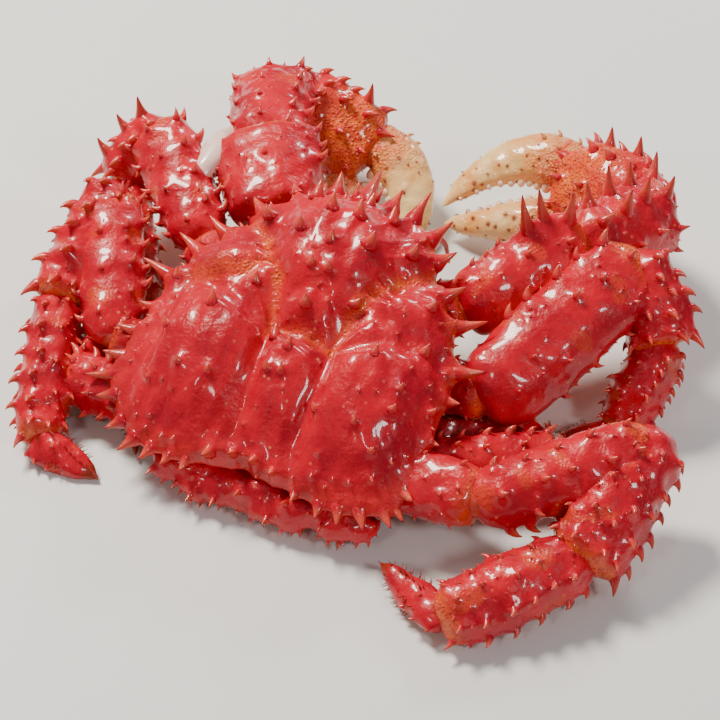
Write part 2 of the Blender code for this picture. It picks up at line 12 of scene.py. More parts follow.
import bpy
import numpy as np
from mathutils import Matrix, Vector


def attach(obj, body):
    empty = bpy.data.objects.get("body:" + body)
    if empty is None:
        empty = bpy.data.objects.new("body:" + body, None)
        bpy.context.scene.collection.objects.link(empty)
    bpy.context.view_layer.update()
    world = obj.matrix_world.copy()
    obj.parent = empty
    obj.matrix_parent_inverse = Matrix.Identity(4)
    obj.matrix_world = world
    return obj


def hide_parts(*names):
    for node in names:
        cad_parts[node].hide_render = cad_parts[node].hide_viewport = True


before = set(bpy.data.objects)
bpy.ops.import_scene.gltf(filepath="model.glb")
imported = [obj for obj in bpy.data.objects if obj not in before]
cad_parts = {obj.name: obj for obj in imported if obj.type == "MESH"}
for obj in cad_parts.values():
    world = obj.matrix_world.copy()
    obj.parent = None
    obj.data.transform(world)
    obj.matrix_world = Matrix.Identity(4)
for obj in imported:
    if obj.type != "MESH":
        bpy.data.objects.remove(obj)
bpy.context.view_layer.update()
MM = 0.001
TURN = 2 * math.pi
rng = np.random.default_rng(11)

# %% [markdown]
# ## Finishes
#
# The boiled shell is scarlet over crimson with a wet, clear gloss. Where it is rough with
# granules, and along the rims of the joints, it turns orange, and the underside pales to
# cream. Thorns darken to brown at the very tip; their flanks get a painted highlight. One
# material mixes all of these. It reads four numbers that each mesh stores at its points:
# how far up a thorn the point is, how granular, how pale and how dark it is. The rest is
# noise in the object's own coordinates, so the pattern runs on unbroken from a segment to its thorns.

# %% Material helpers
def set_inputs(node, **values):
    """Sets a node's inputs by name, with an underscore for each space."""
    for name, value in values.items():
        node.inputs[name.replace("_", " ")].default_value = value


def new_material(name):
    """A material, its node tree and its main shader."""
    made = bpy.data.materials.new(name)
    made.use_nodes = True
    return made, made.node_tree, made.node_tree.nodes["Principled BSDF"]


def colour_mix(tree, factor, first, second):
    """A node that mixes two colours, each of them a socket or a fixed colour."""
    mix = tree.nodes.new("ShaderNodeMix")
    mix.data_type = "RGBA"
    for socket, value in ((mix.inputs[0], factor), (mix.inputs[6], first), (mix.inputs[7], second)):
        if hasattr(value, "is_output"):
            tree.links.new(value, socket)
        else:
            socket.default_value = value
    return mix.outputs[2]


def remap(tree, value, low, high, to_low=0.0, to_high=1.0):
    """A number taken from one range to another and kept inside it."""
    made = tree.nodes.new("ShaderNodeMapRange")
    tree.links.new(value, made.inputs[0])
    for i, number in enumerate((low, high, to_low, to_high), 1):
        made.inputs[i].default_value = number
    return made.outputs[0]


def times(tree, first, second):
    """The product of two numbers, each of them a socket or a fixed number."""
    made = tree.nodes.new("ShaderNodeMath")
    made.operation = "MULTIPLY"
    for socket, value in zip(made.inputs, (first, second)):
        if hasattr(value, "is_output"):
            tree.links.new(value, socket)
        else:
            socket.default_value = value
    return made.outputs[0]


def noise(tree, place, scale, detail=3.0):
    """Cloudy noise, with that many waves for each metre."""
    made = tree.nodes.new("ShaderNodeTexNoise")
    tree.links.new(place, made.inputs["Vector"])
    set_inputs(made, Scale=scale, Detail=detail)
    return made.outputs["Fac"]


def cells(tree, place, scale):
    """Distance to the middle of the nearest cell, with that many cells for each metre."""
    made = tree.nodes.new("ShaderNodeTexVoronoi")
    tree.links.new(place, made.inputs["Vector"])
    set_inputs(made, Scale=scale)
    return made.outputs["Distance"]


def stored(tree, name):
    """A number that the mesh stores at its points."""
    made = tree.nodes.new("ShaderNodeAttribute")
    made.attribute_name = name
    return made.outputs["Fac"]


def bump(tree, height, strength, depth, under=None):
    """A surface raised by the height, on top of the one under it."""
    made = tree.nodes.new("ShaderNodeBump")
    set_inputs(made, Strength=strength, Distance=depth)
    tree.links.new(height, made.inputs["Height"])
    if under is not None:
        tree.links.new(under, made.inputs["Normal"])
    return made.outputs["Normal"]


# %% The shell's material
SCARLET = (0.58, 0.0002, 0.016, 1)
CRIMSON = (0.39, 0.0001, 0.014, 1)
ORANGE = (0.80, 0.13, 0.012, 1)
CREAM = (0.84, 0.58, 0.36, 1)
# A paler orange for the thorns' flanks: a painted highlight
THORN_GLEAM = (0.86, 0.22, 0.09, 1)
TIP_BROWN = (0.06, 0.01, 0.006, 1)
SPOT_BROWN = (0.26, 0.02, 0.008, 1)
DOT_ORANGE = (0.85, 0.28, 0.12, 1)
IVORY = (0.86, 0.60, 0.25, 1)
DEEP_IVORY = (0.80, 0.36, 0.09, 1)
FINGER_RED = (0.66, 0.04, 0.012, 1)
# Waves or cells of each pattern in a metre, from broad clouds of red to fine grit
CLOUDS = 75.0
DOT_GROUPS = 110.0
DENTS = 160.0
PATCHES = 260.0
PORES = 260.0
WET_FILM = 420.0
WRINKLES = 480.0
GRANULES = 850.0
GRIT = 1100.0
# How far the thorns' flanks turn to a paler orange, a painted highlight on them
THORN_GLEAM_SHARE = 0.26


def shell_material(name, first=SCARLET, second=CRIMSON, gloss=0.24, rough_colour=ORANGE):
    """Mottled shell, granular and orange, pale or dark where the mesh says so, with a painted highlight on
    the thorns' flanks.
    """
    made, tree, shader = new_material(name)
    place = tree.nodes.new("ShaderNodeTexCoord").outputs["Object"]
    grain, pale, tip, dark = (stored(tree, word) for word in ("grain", "pale", "tip", "dark"))
    cloud = remap(tree, noise(tree, place, CLOUDS), 0.38, 0.66)
    colour = colour_mix(tree, cloud, first, second)
    granules = cells(tree, place, GRANULES)
    patches = remap(tree, noise(tree, place, PATCHES), 0.3, 0.62, 0.35, 1.0)
    net = remap(tree, granules, 0.22, 0.5, 0.45, 1.0)
    patchy = times(tree, grain, patches)
    colour = colour_mix(tree, times(tree, patchy, net), colour, rough_colour)
    pores = remap(tree, cells(tree, place, PORES), 0.07, 0.19, 0.5, 0.0)
    seldom = remap(tree, noise(tree, place, DOT_GROUPS), 0.45, 0.6)
    dots = times(tree, pores, seldom)
    colour = colour_mix(tree, dots, colour, DOT_ORANGE)
    colour = colour_mix(tree, pale, colour, CREAM)
    # The thorns' flanks, from a fifth of the way up to near the tip, get the painted highlight
    flank = times(tree, remap(tree, tip, 0.2, 0.55), remap(tree, tip, 0.97, 0.8))
    colour = colour_mix(tree, times(tree, flank, THORN_GLEAM_SHARE), colour, THORN_GLEAM)
    colour = colour_mix(tree, remap(tree, tip, 0.9, 1.0), colour, TIP_BROWN)
    colour = colour_mix(tree, dark, colour, SPOT_BROWN)
    tree.links.new(colour, shader.inputs["Base Color"])
    grains = times(tree, remap(tree, granules, 0.0, 0.6, 1.0, 0.0), grain)
    fine = bump(tree, noise(tree, place, GRIT, 4.0), 0.3, 0.0004)
    rough = bump(tree, grains, 0.8, 0.0007, fine)
    wrinkled = bump(tree, noise(tree, place, WRINKLES, 4.0), 0.5, 0.0008, rough)
    uneven = bump(tree, noise(tree, place, DENTS, 2.0), 0.25, 0.0012, wrinkled)
    raised = bump(tree, dots, 0.35, 0.0005, uneven)
    tree.links.new(raised, shader.inputs["Normal"])
    film = remap(tree, noise(tree, place, WET_FILM), 0.3, 0.7, gloss, gloss + 0.2)
    tree.links.new(film, shader.inputs["Roughness"])
    set_inputs(shader, Coat_Weight=0.45, Coat_Roughness=0.09)
    set_inputs(shader, Specular_IOR_Level=0.32, Specular_Tint=(1.0, 0.7, 0.6, 1))
    return made


def plain_material(name, colour, roughness, coat=0.0, spread=0.25, scale=300.0):
    """A softly mottled finish for skin, eyes and feelers."""
    made, tree, shader = new_material(name)
    place = tree.nodes.new("ShaderNodeTexCoord").outputs["Object"]
    darker = tuple(channel * (1 - spread) for channel in colour[:3]) + (1,)
    mottled = colour_mix(tree, remap(tree, noise(tree, place, scale), 0.35, 0.65), colour, darker)
    tree.links.new(mottled, shader.inputs["Base Color"])
    tree.links.new(bump(tree, noise(tree, place, 1500.0), 0.2, 0.0003), shader.inputs["Normal"])
    set_inputs(shader, Roughness=roughness, Coat_Weight=coat, Coat_Roughness=0.05)
    return made


SHELL = shell_material("boiled_shell")
UNDER = shell_material("under_shell", (0.66, 0.10, 0.04, 1), (0.50, 0.03, 0.015, 1), gloss=0.3)
FINGER = shell_material("finger_ivory", IVORY, DEEP_IVORY, rough_colour=FINGER_RED)
SKIN = plain_material("joint_skin", (0.50, 0.03, 0.012, 1), 0.4, 0.15)
EYE = plain_material("eye_black", (0.012, 0.009, 0.008, 1), 0.09, 1.0, 0.3, 900.0)
FEELER = plain_material("feeler_red", (0.55, 0.05, 0.02, 1), 0.3, 0.5)
# Pale pad between the left arm and the leg: partly the membrane's own colour, partly a painted highlight
MEMBRANE_AND_GLEAM = plain_material("pale_membrane_and_gleam", (0.86, 0.60, 0.50, 1), 0.25, 0.5, 0.12)
print("7 materials made")

# %% [markdown]
# ## From a grid of points to a skin
#
# Almost every piece is a closed skin over a grid: rows run along the piece and columns
# run round it. The rows are joined to their neighbours, the columns wrap round, and a
# single point closes each end. Thorns are small skins of the same kind, set in by the
# dozen at once. All the arithmetic is done on whole arrays.

# %% Grids
def unit(vectors):
    """The vectors, each of length one."""
    return vectors / np.maximum(np.linalg.norm(vectors, axis=-1, keepdims=True), 1e-9)


def normals_of(grid):
    """Outward normals: across the step to the next row and the step to the next column."""
    down = np.gradient(grid, axis=0)
    around = np.roll(grid, -1, 1) - np.roll(grid, 1, 1)
    found = unit(np.cross(around, down))
    outward = np.sum(found * (grid - grid.mean((0, 1))))
    return found if outward > 0 else -found


def ring_quads(rows, sides):
    """A quad between each row and column and their next; the last column meets the first."""
    column = np.arange(sides)
    after = (column + 1) % sides
    low = np.arange(rows - 1)[:, None] * sides
    high = low + sides
    return np.stack([low + column, low + after, high + after, high + column], -1).reshape(-1, 4)


def grid_part(grid, **values):
    """A closed skin of quads over the grid, with a fan of triangles at each end."""
    rows, sides = grid.shape[:2]
    ends = np.array([grid[0].mean(0), grid[-1].mean(0)])
    points = np.concatenate([grid.reshape(-1, 3), ends])
    column = np.arange(sides)
    after = (column + 1) % sides
    last = (rows - 1) * sides
    fans = np.concatenate([
        np.stack([after, column, np.full(sides, rows * sides)], -1),
        np.stack([last + column, last + after, np.full(sides, rows * sides + 1)], -1),
    ])
    stored_values = {}
    for name, value in values.items():
        value = np.broadcast_to(value, grid.shape[:2])
        stored_values[name] = np.concatenate([value.ravel(), [value[0].mean(), value[-1].mean()]])
    return {"points": points, "quads": ring_quads(rows, sides), "fans": fans, "values": stored_values}


# %% Thorns
THORN_SIDES = 9
# Up a thorn: share of its length, and share of its radius
SHARP = np.array([
    (-0.12, 1.1), (0.06, 1.02), (0.18, 0.88), (0.32, 0.66), (0.52, 0.44), (0.75, 0.26), (0.93, 0.11),
])
BLUNT = np.array([(-0.3, 1.2), (0.1, 1.15), (0.45, 1.0), (0.75, 0.72), (0.93, 0.38), (0.99, 0.12)])


def thorns_part(feet, outs, leans, lengths, radii, shape=SHARP, bend=0.4, **values):
    """Thorns as rings round a path that leaves along the normal and bends over to the lean:
    path(s) = foot + length (s (1 - bend s) normal + bend s s lean), ring = radius shape(s)."""
    count = len(feet)
    s = np.append(shape[:, 0], 1.0)[None, :, None]
    length = np.asarray(lengths, float)[:, None, None]
    outwards = s * (1 - bend * np.abs(s)) * outs[:, None]
    path = feet[:, None] + length * (outwards + bend * s * np.abs(s) * leans[:, None])
    axis = unit(outs * (1 - bend) + leans * bend)
    across = unit(np.cross(axis, np.where(np.abs(axis[:, 2:]) < 0.9, [[0, 0, 1.0]], [[1.0, 0, 0]])))
    other = np.cross(axis, across)
    turns = np.linspace(0, TURN, THORN_SIDES, endpoint=False)
    circle = across[:, None] * np.cos(turns)[:, None] + other[:, None] * np.sin(turns)[:, None]
    size = np.broadcast_to(radii, count)[:, None] * shape[:, 1]
    rings = path[:, :-1, None] + size[..., None, None] * circle[:, None]
    steps = len(shape)
    each = steps * THORN_SIDES + 1
    points = np.concatenate([rings.reshape(count, -1, 3), path[:, -1:]], 1).reshape(-1, 3)
    column = np.arange(THORN_SIDES)
    after = (column + 1) % THORN_SIDES
    top = (steps - 1) * THORN_SIDES
    fans = np.stack([top + column, top + after, np.full(THORN_SIDES, each - 1)], -1)
    foot = np.stack([after[1:-1], column[1:-1], np.zeros(THORN_SIDES - 2, int)], -1)
    fans = np.concatenate([fans, foot])
    shift = np.arange(count) * each
    height = np.append(np.repeat(shape[:, 0], THORN_SIDES), 1.0).clip(0, 1)
    found = {"tip": np.tile(height, count)}
    for name, value in values.items():
        found[name] = np.repeat(np.broadcast_to(value, count), each)
    return {
        "points": points,
        "quads": (ring_quads(steps, THORN_SIDES) + shift[:, None, None]).reshape(-1, 4),
        "fans": (fans[None] + shift[:, None, None]).reshape(-1, 3),
        "values": found,
    }


# %% [markdown]
# ## One mesh for each piece
#
# The skin and the thorns of a piece are joined into one mesh. Faces that look inwards are
# turned round first. The mesh keeps the four numbers of the shell's material at its
# points, rides on the crab, and hides the solids that it stands for.

# %% Meshes
ATTRIBUTES = ("tip", "grain", "pale", "dark")
total_triangles = 0


def faces_out(part):
    """The same part with its faces turned to look outwards, by the sign of its volume."""
    triangles = np.concatenate([part["quads"][:, [0, 1, 2]], part["quads"][:, [0, 2, 3]], part["fans"]])
    a, b, c = (part["points"][triangles[:, i]] for i in range(3))
    if np.sum(np.cross(a, b) * c) < 0:
        part = dict(part, quads=part["quads"][:, ::-1], fans=part["fans"][:, ::-1])
    return part


def add_piece(name, parts, material, nodes=()):
    """Joins parts into one smooth-shaded mesh, which rides on the crab and stands for its nodes."""
    global total_triangles
    parts = [faces_out(part) for part in parts]
    starts = np.cumsum([0] + [len(part["points"]) for part in parts])
    quads = np.concatenate([part["quads"] + start for part, start in zip(parts, starts)])
    fans = np.concatenate([part["fans"] + start for part, start in zip(parts, starts)])
    mesh = bpy.data.meshes.new(name)
    mesh.vertices.add(int(starts[-1]))
    mesh.vertices.foreach_set("co", np.concatenate([part["points"] for part in parts]).ravel() * MM)
    loops = np.concatenate([quads.ravel(), fans.ravel()]).astype(np.int32)
    mesh.loops.add(len(loops))
    mesh.loops.foreach_set("vertex_index", loops)
    first = np.concatenate([np.arange(len(quads)) * 4, len(quads) * 4 + np.arange(len(fans)) * 3])
    mesh.polygons.add(len(first))
    mesh.polygons.foreach_set("loop_start", first.astype(np.int32))
    mesh.update(calc_edges=True)
    mesh.validate()
    mesh.shade_smooth()
    for word in ATTRIBUTES:
        values = [part["values"].get(word, np.zeros(len(part["points"]))) for part in parts]
        made = mesh.attributes.new(word, "FLOAT", "POINT")
        made.data.foreach_set("value", np.concatenate(values).astype(np.float32))
    mesh.materials.append(material)
    piece = bpy.data.objects.new(name, mesh)
    bpy.context.scene.collection.objects.link(piece)
    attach(piece, "root")
    if nodes:
        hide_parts(*nodes)
    total_triangles += 2 * len(quads) + len(fans)
    return piece


# %% [markdown]
# ## A skin with thorns
#
# A thorn of the crab isn't stuck on. The shell round its foot is drawn out into a small
# tent that flows into the thorn, and the shell between the thorns is never quite even.

# %% Uneven skins with thorns
# A thorn's radius as a share of its length, and its least and greatest radius
THORN_WIDTH = 0.33
LEAST_WIDTH = 0.45
MOST_WIDTH = 3.3
# The tent round a foot: its height as a share of the thorn's length, and how far it
# reaches, so many radii and a little more
RISE = 0.36
FLARE = 2.5
FLARE_MORE = 1.0
# Size and height of the skin's unevenness
UNEVEN = (9.0, 0.35)
# No thorn may come nearer to the floor than this
FLOOR_ROOM = 1.0


def mounds(grid, feet, ways, lengths, radii, rise):
    """Draws the skin out round each foot, along the thorn: rise times length times
    (1 - distance / flare) squared, so that its flanks curve up into the thorn."""
    flat = grid.reshape(-1, 3)
    drawn = np.zeros_like(flat)
    for foot, way, length, radius in zip(feet, ways, lengths, radii):
        near = np.clip(1 - np.linalg.norm(flat - foot, axis=1) / (FLARE * radius + FLARE_MORE), 0, 1)
        drawn += (rise * length * near**2)[:, None] * way
    return grid + drawn.reshape(grid.shape)


def ripples(points, size, height, seed):
    """Soft unevenness: a sum of waves of about that size in random directions."""
    local = np.random.default_rng(seed)
    total = np.zeros(points.shape[:-1])
    for _ in range(7):
        way = unit(local.normal(size=3)) * (TURN / (size * local.uniform(0.7, 1.5)))
        total += np.sin(points @ way + local.uniform(0, TURN))
    return height * total / 3.0


def thorned(grid, rows, columns, lengths, leans, seed, width=THORN_WIDTH, rise=RISE, **values):
    """A skin with thorns on the named grid points: the uneven skin is drawn out round each
    foot into a tent, and the thorn starts at the same foot, inside the tent. Thorns that
    would touch the floor are left out, and the skin is flat where it rests on the floor.
    Returns the parts of the piece."""
    normals = normals_of(grid)
    grid = grid + normals * ripples(grid, *UNEVEN, seed)[..., None]
    lengths = np.asarray(lengths, float)
    leans = np.asarray(leans, float)
    tips = grid[rows, columns] + lengths[:, None] * normals[rows, columns]
    kept = (tips[:, 2] > FLOOR_ROOM) & (grid[rows, columns][:, 2] > FLOOR_ROOM)
    rows, columns, lengths, leans = rows[kept], columns[kept], lengths[kept], leans[kept]
    radii = np.clip(width * lengths, LEAST_WIDTH, MOST_WIDTH)
    outs, feet = normals[rows, columns], grid[rows, columns]
    grid = mounds(grid, feet, unit(outs + 0.15 * leans), lengths, radii, rise)
    grid[..., 2] = np.maximum(grid[..., 2], 0.0)
    thorns = thorns_part(feet, outs, leans, lengths * 1.08, radii)
    return [grid_part(grid, **values), thorns]


# %% [markdown]
# ## The back
#
# The shell of the back is a domed triangle that tilts nose up. Grooves part it into
# regions: the stomach's dome in front, the small heart region behind it and the two
# great gill regions at the sides. A ring of broad thorns stands round the rim, which is
# cut back in arcs between them like a web, and shorter thorns stand on the regions. The
# height of the dome over the plane of its rim is one formula: a rounded base, plus a
# swelling for each region, less each groove. The right and left thorns aren't quite
# alike: the place of each one's tip was worked out from the photograph.

# %% Numbers of the back
SHELL_CENTRE_Y = 2.0
# The rim's plane: its height over the floor at y = 0, and its rise for each millimetre
RIM_MIDDLE_Z = 36.0
RIM_RISE = 0.36
# The rounded base over it: its height, and the two powers that shape its shoulder
DOME_HEIGHT = 13.5
DOME_POWER = 3.0
DOME_SHOULDER = 0.6
# The midline starts at this y in front and leans to the right on its way to the rear
MIDLINE_START = 50.0
MIDLINE_LEAN = 0.06
# How sharply a swelling ends, and how sharply it stands apart from its neighbours
SWELLING_EDGE = 3
SWELLING_BLEND = 4
# The right half of the outline seen from above, from the front to the rear
RIM = np.array([
    (0, 54), (13, 49), (25, 47), (32, 38), (41, 25), (48, 15), (54, 2), (54.5, -8), (55, -22),
    (54.5, -31), (52, -39), (47.5, -45), (41, -48.5), (33, -50), (18, -50), (0, -48),
], float)
# Middle of each swelling, its half sizes across and along the crab, and its height
SWELLINGS = [
    (0, 20, 21, 25, 9.0), (0, -25, 12, 17, 6.5), (30, -24, 20, 22, 10.0), (37, 12, 13, 8, 5.5),
    (0, -2, 9, 9, 5.0), (27, 32, 9, 7, 3.5),
]
# Start and end of each groove, its half width and its depth
GROOVES = [
    ((0, -9), (11, -11), 3.4, 3.2), ((11, -11), (15, 6), 3.8, 3.8), ((15, 6), (24, 19), 3.8, 3.4),
    ((24, 19), (38, 33), 3.8, 2.6), ((11, -11), (29, -3), 3.4, 3.4), ((29, -3), (50, 3), 3.6, 2.8),
    ((12, -12), (11.5, -44), 3.8, 3.4),
]
# Smaller swellings and folds that only show in the finished skin
DETAIL_SWELLINGS = [
    (8, 33, 9, 9, 1.0), (10, 12, 6, 6, 1.0), (27, -3, 6, 4, 1.4), (44, -12, 8, 9, 1.2),
    (28, -40, 9, 6, 1.6), (46, -32, 8, 7, 1.2), (5, -20, 4.5, 5, 1.3), (4, -33, 5, 6, 1.0),
    (33, 27, 6, 5, 1.2), (49, 6, 5, 5, 1.2), (21, 13.6, 4, 2.3, 1.9), (23, 19, 4, 2.3, 1.9),
    (19, 8.8, 4, 2.2, 1.7),
]
DETAIL_GROOVES = [
    ((0, 4), (8, 1), 2.2, 1.2), ((0, 40), (0, 52), 3, 1.2), ((12, -11), (30, -9), 2.2, 1.2),
    ((0, -16), (7, -17), 1.8, 1.0), ((30, 15), (44, 12), 2.4, 1.4), ((36, -2), (50, -12), 2.4, 1.2),
    ((47, 6), (50, -30), 3.0, 2.4), ((19, 16.3), (27, 16.3), 1.1, 1.1), ((17, 11.2), (24, 11.2), 1.1, 1.1),
]
# Rough ochre shell in front of the left gill region, partly its own colour and partly a painted highlight
# where the wet shell gleams: start, end, half width
OCHRE_AND_GLEAM = [((-42, 3.5), (-24, 7), 3.6), ((-24, 7), (-20, 12), 2.4)]
# How deep the rim is cut back between its thorns, and over what angle in radians
WEB_DEPTH = 3.2
WEB_ANGLE = 0.055
# Tips of the thorns along the rim, from the front to the rear
RIM_TIPS_RIGHT = [
    (12, 55, 59.5), (23, 56.5, 60), (32, 50, 57), (37, 41, 54), (46, 28.5, 50), (56, 21.5, 46),
    (62, 4.5, 41), (59, -7, 35), (58, -23, 30), (60, -31.5, 26), (59, -37, 24), (58, -42, 22.5),
    (55.5, -47.5, 20), (53, -50.5, 19), (45.7, -54, 17.6), (37, -55.5, 17), (29, -55.4, 17),
    (20.4, -53.4, 18), (11.5, -51.5, 24.5), (4.4, -50.3, 26),
]
RIM_TIPS_LEFT = [
    (-12, 55, 60), (-17.5, 52, 57), (-25.2, 49.5, 55.2), (-37, 42.5, 50.5), (-48, 30.4, 48),
    (-56.6, 19.4, 44), (-64.3, 6.4, 39.3), (-59, -6.6, 34.6), (-61.7, -17, 31), (-62, -28, 28),
    (-65, -35.5, 25), (-58.5, -41.5, 22), (-50.6, -50, 19), (-43, -55, 17), (-34.8, -55.8, 17),
    (-27, -56, 17), (-20, -55.7, 17), (-12.5, -53.1, 25), (-4.1, -50, 26),
]
# Tips of the thorns on the regions: stomach, heart, left gills and right gills
BACK_TIPS = [
    (-11, 21, 67), (-4, 32, 70), (6, 33, 70), (5, 46, 65), (2, 18, 68), (15, 22, 67), (-1, 8, 64),
    (5, 8, 64), (2, -4, 57), (18, 4, 55), (28, 29, 61), (-27, 28, 60), (-14, 41, 63), (15, 41, 63),
    (41, 14, 54), (-2, -27, 47), (4, -27, 48), (3, -17, 53), (-5, -12, 48),
    (-19, 2, 55), (-28, -12, 56), (-50, 2, 45), (-42, -21, 46), (-31, -34, 44), (-42, -38, 36),
    (-19, -35, 45), (31, -10, 55), (45, 0, 48), (18, -32, 41), (34, -35, 44), (44, -26, 45),
    (44, -19, 48), (54, -15, 37), (42, -39, 37), (57, -24, 31),
]
# Radius and tent of the back's thorns, which are broader than those of the limbs
BACK_WIDTH = 0.46
BACK_RISE = 0.44
# Scattered small thorns: how many, and the gap that they keep
TOP_SMALL = (60, 5.2)
RIM_SMALL = (66, 3.4)
BACK_ROWS = 150
BACK_SIDES = 380
# Below the rim the shell rolls under: share of the outline, and drop below it
ROLLED_UNDER = [(1.006, 0.5), (1.008, 1.2), (1.0, 2.2), (0.98, 3.2), (0.94, 3.9), (0.6, 4.0), (0.2, 4.0)]


def rim_radius(turns):
    """Distance from the middle to the rim: the outline's points, rounded between them, and
    scalloped like a web between the thorns, 1 - exp(-angle to the nearest thorn)."""
    angles = np.arctan2(RIM[:, 0], RIM[:, 1] - SHELL_CENTRE_Y)
    around = np.linspace(-math.pi, math.pi, 721)
    radius = np.interp(np.abs(around), angles, np.hypot(RIM[:, 0], RIM[:, 1] - SHELL_CENTRE_Y))
    kernel = np.hanning(13) / np.hanning(13).sum()
    radius = np.convolve(np.concatenate([radius[-7:-1], radius, radius[1:7]]), kernel, "valid")
    folded = (np.asarray(turns) + math.pi) % TURN - math.pi
    tips = np.array(RIM_TIPS_RIGHT + RIM_TIPS_LEFT, float)
    thorns = np.arctan2(tips[:, 0], tips[:, 1] - SHELL_CENTRE_Y)
    away = np.abs(folded[..., None] - thorns).min(-1)
    depth = WEB_DEPTH * np.clip(0.35 + 0.65 * np.cos(folded), 0.25, 1.0)
    return np.interp(folded, around, radius) - depth * (1 - np.exp(-away / WEB_ANGLE))


def near_line(x, y, start, end, width):
    """One on the line from start to end, falling to nothing past its half width."""
    sx, sy = start
    dx, dy = end[0] - sx, end[1] - sy
    t = np.clip(((x - sx) * dx + (y - sy) * dy) / (dx * dx + dy * dy), 0, 1)
    return np.exp(-((x - sx - t * dx) ** 2 + (y - sy - t * dy) ** 2) / width**2)


def shell_top(x, y, share):
    """The rim's plane, plus height (1 - share cubed) to a power, plus plump bells blended by
    a power mean, plus small bells, less grooves, all measured from a midline that leans."""
    inside = np.clip(1 - share**DOME_POWER, 0, 1)
    side = np.abs(x - MIDLINE_LEAN * (MIDLINE_START - y))

    def bell(cx, cy, across, lengthwise, height, edge):
        """height exp(-distance from the middle, in half sizes, to the power edge)"""
        return height * np.exp(-(np.hypot((side - cx) / across, (y - cy) / lengthwise) ** edge))

    raised = sum(bell(*swelling, SWELLING_EDGE) ** SWELLING_BLEND for swelling in SWELLINGS)
    shape = DOME_HEIGHT * inside**DOME_SHOULDER + raised ** (1 / SWELLING_BLEND) * inside**0.5
    shape = shape + sum(bell(*swelling, 2) for swelling in DETAIL_SWELLINGS) * inside
    for lines in (GROOVES, DETAIL_GROOVES):
        sunk = [depth * near_line(side, y, start, end, width) for start, end, width, depth in lines]
        shape = shape - np.max(sunk, axis=0) * inside**0.7
    return RIM_MIDDLE_Z + RIM_RISE * y + shape


def back_grid():
    """Rings from the middle of the back out to the rim, then rolled under to a flat base."""
    turns = np.linspace(0, TURN, BACK_SIDES, endpoint=False)
    share = np.linspace(0.004, 1, BACK_ROWS) ** 0.86
    x = share[:, None] * rim_radius(turns) * np.sin(turns)
    y = share[:, None] * rim_radius(turns) * np.cos(turns) + SHELL_CENTRE_Y
    top = np.stack([x, y, shell_top(x, y, share[:, None])], -1)
    under = []
    for out, drop in ROLLED_UNDER:
        bx, by = out * x[-1], out * (y[-1] - SHELL_CENTRE_Y) + SHELL_CENTRE_Y
        under.append(np.stack([bx, by, RIM_MIDDLE_Z + RIM_RISE * by - drop], -1))
    return np.concatenate([top, np.array(under)])


# %% Places for thorns
# For each scattered thorn so many points are tried, against so many of those kept last
TRIES = 60
LAST_KEPT = 400


def nearest(grid, places):
    """Row and column of the grid point nearest to each place."""
    flat = grid.reshape(-1, 3)
    found = [int(np.argmin(np.sum((flat - place) ** 2, axis=1))) for place in places]
    return np.unravel_index(found, grid.shape[:2])


def scattered(grid, count, taken, gap, allowed, seed):
    """Random grid points that keep a gap from those taken and from each other."""
    local = np.random.default_rng(seed)
    flat = grid.reshape(-1, 3)
    order = local.permutation(np.flatnonzero(allowed.ravel()))
    kept = [np.asarray(place, float) for place in taken]
    picked = []
    for index in order[: TRIES * count]:
        place = flat[index]
        if all(np.sum((place - other) ** 2) > gap * gap for other in kept[-LAST_KEPT:]):
            kept.append(place)
            picked.append(index)
        if len(picked) == count:
            break
    return np.unravel_index(np.array(picked, int), grid.shape[:2])


def both_sides(places):
    """Each place on the right, followed by its mirror image on the left."""
    return np.array([(side * x, y, z) for x, y, z in places for side in (1, -1)], float)


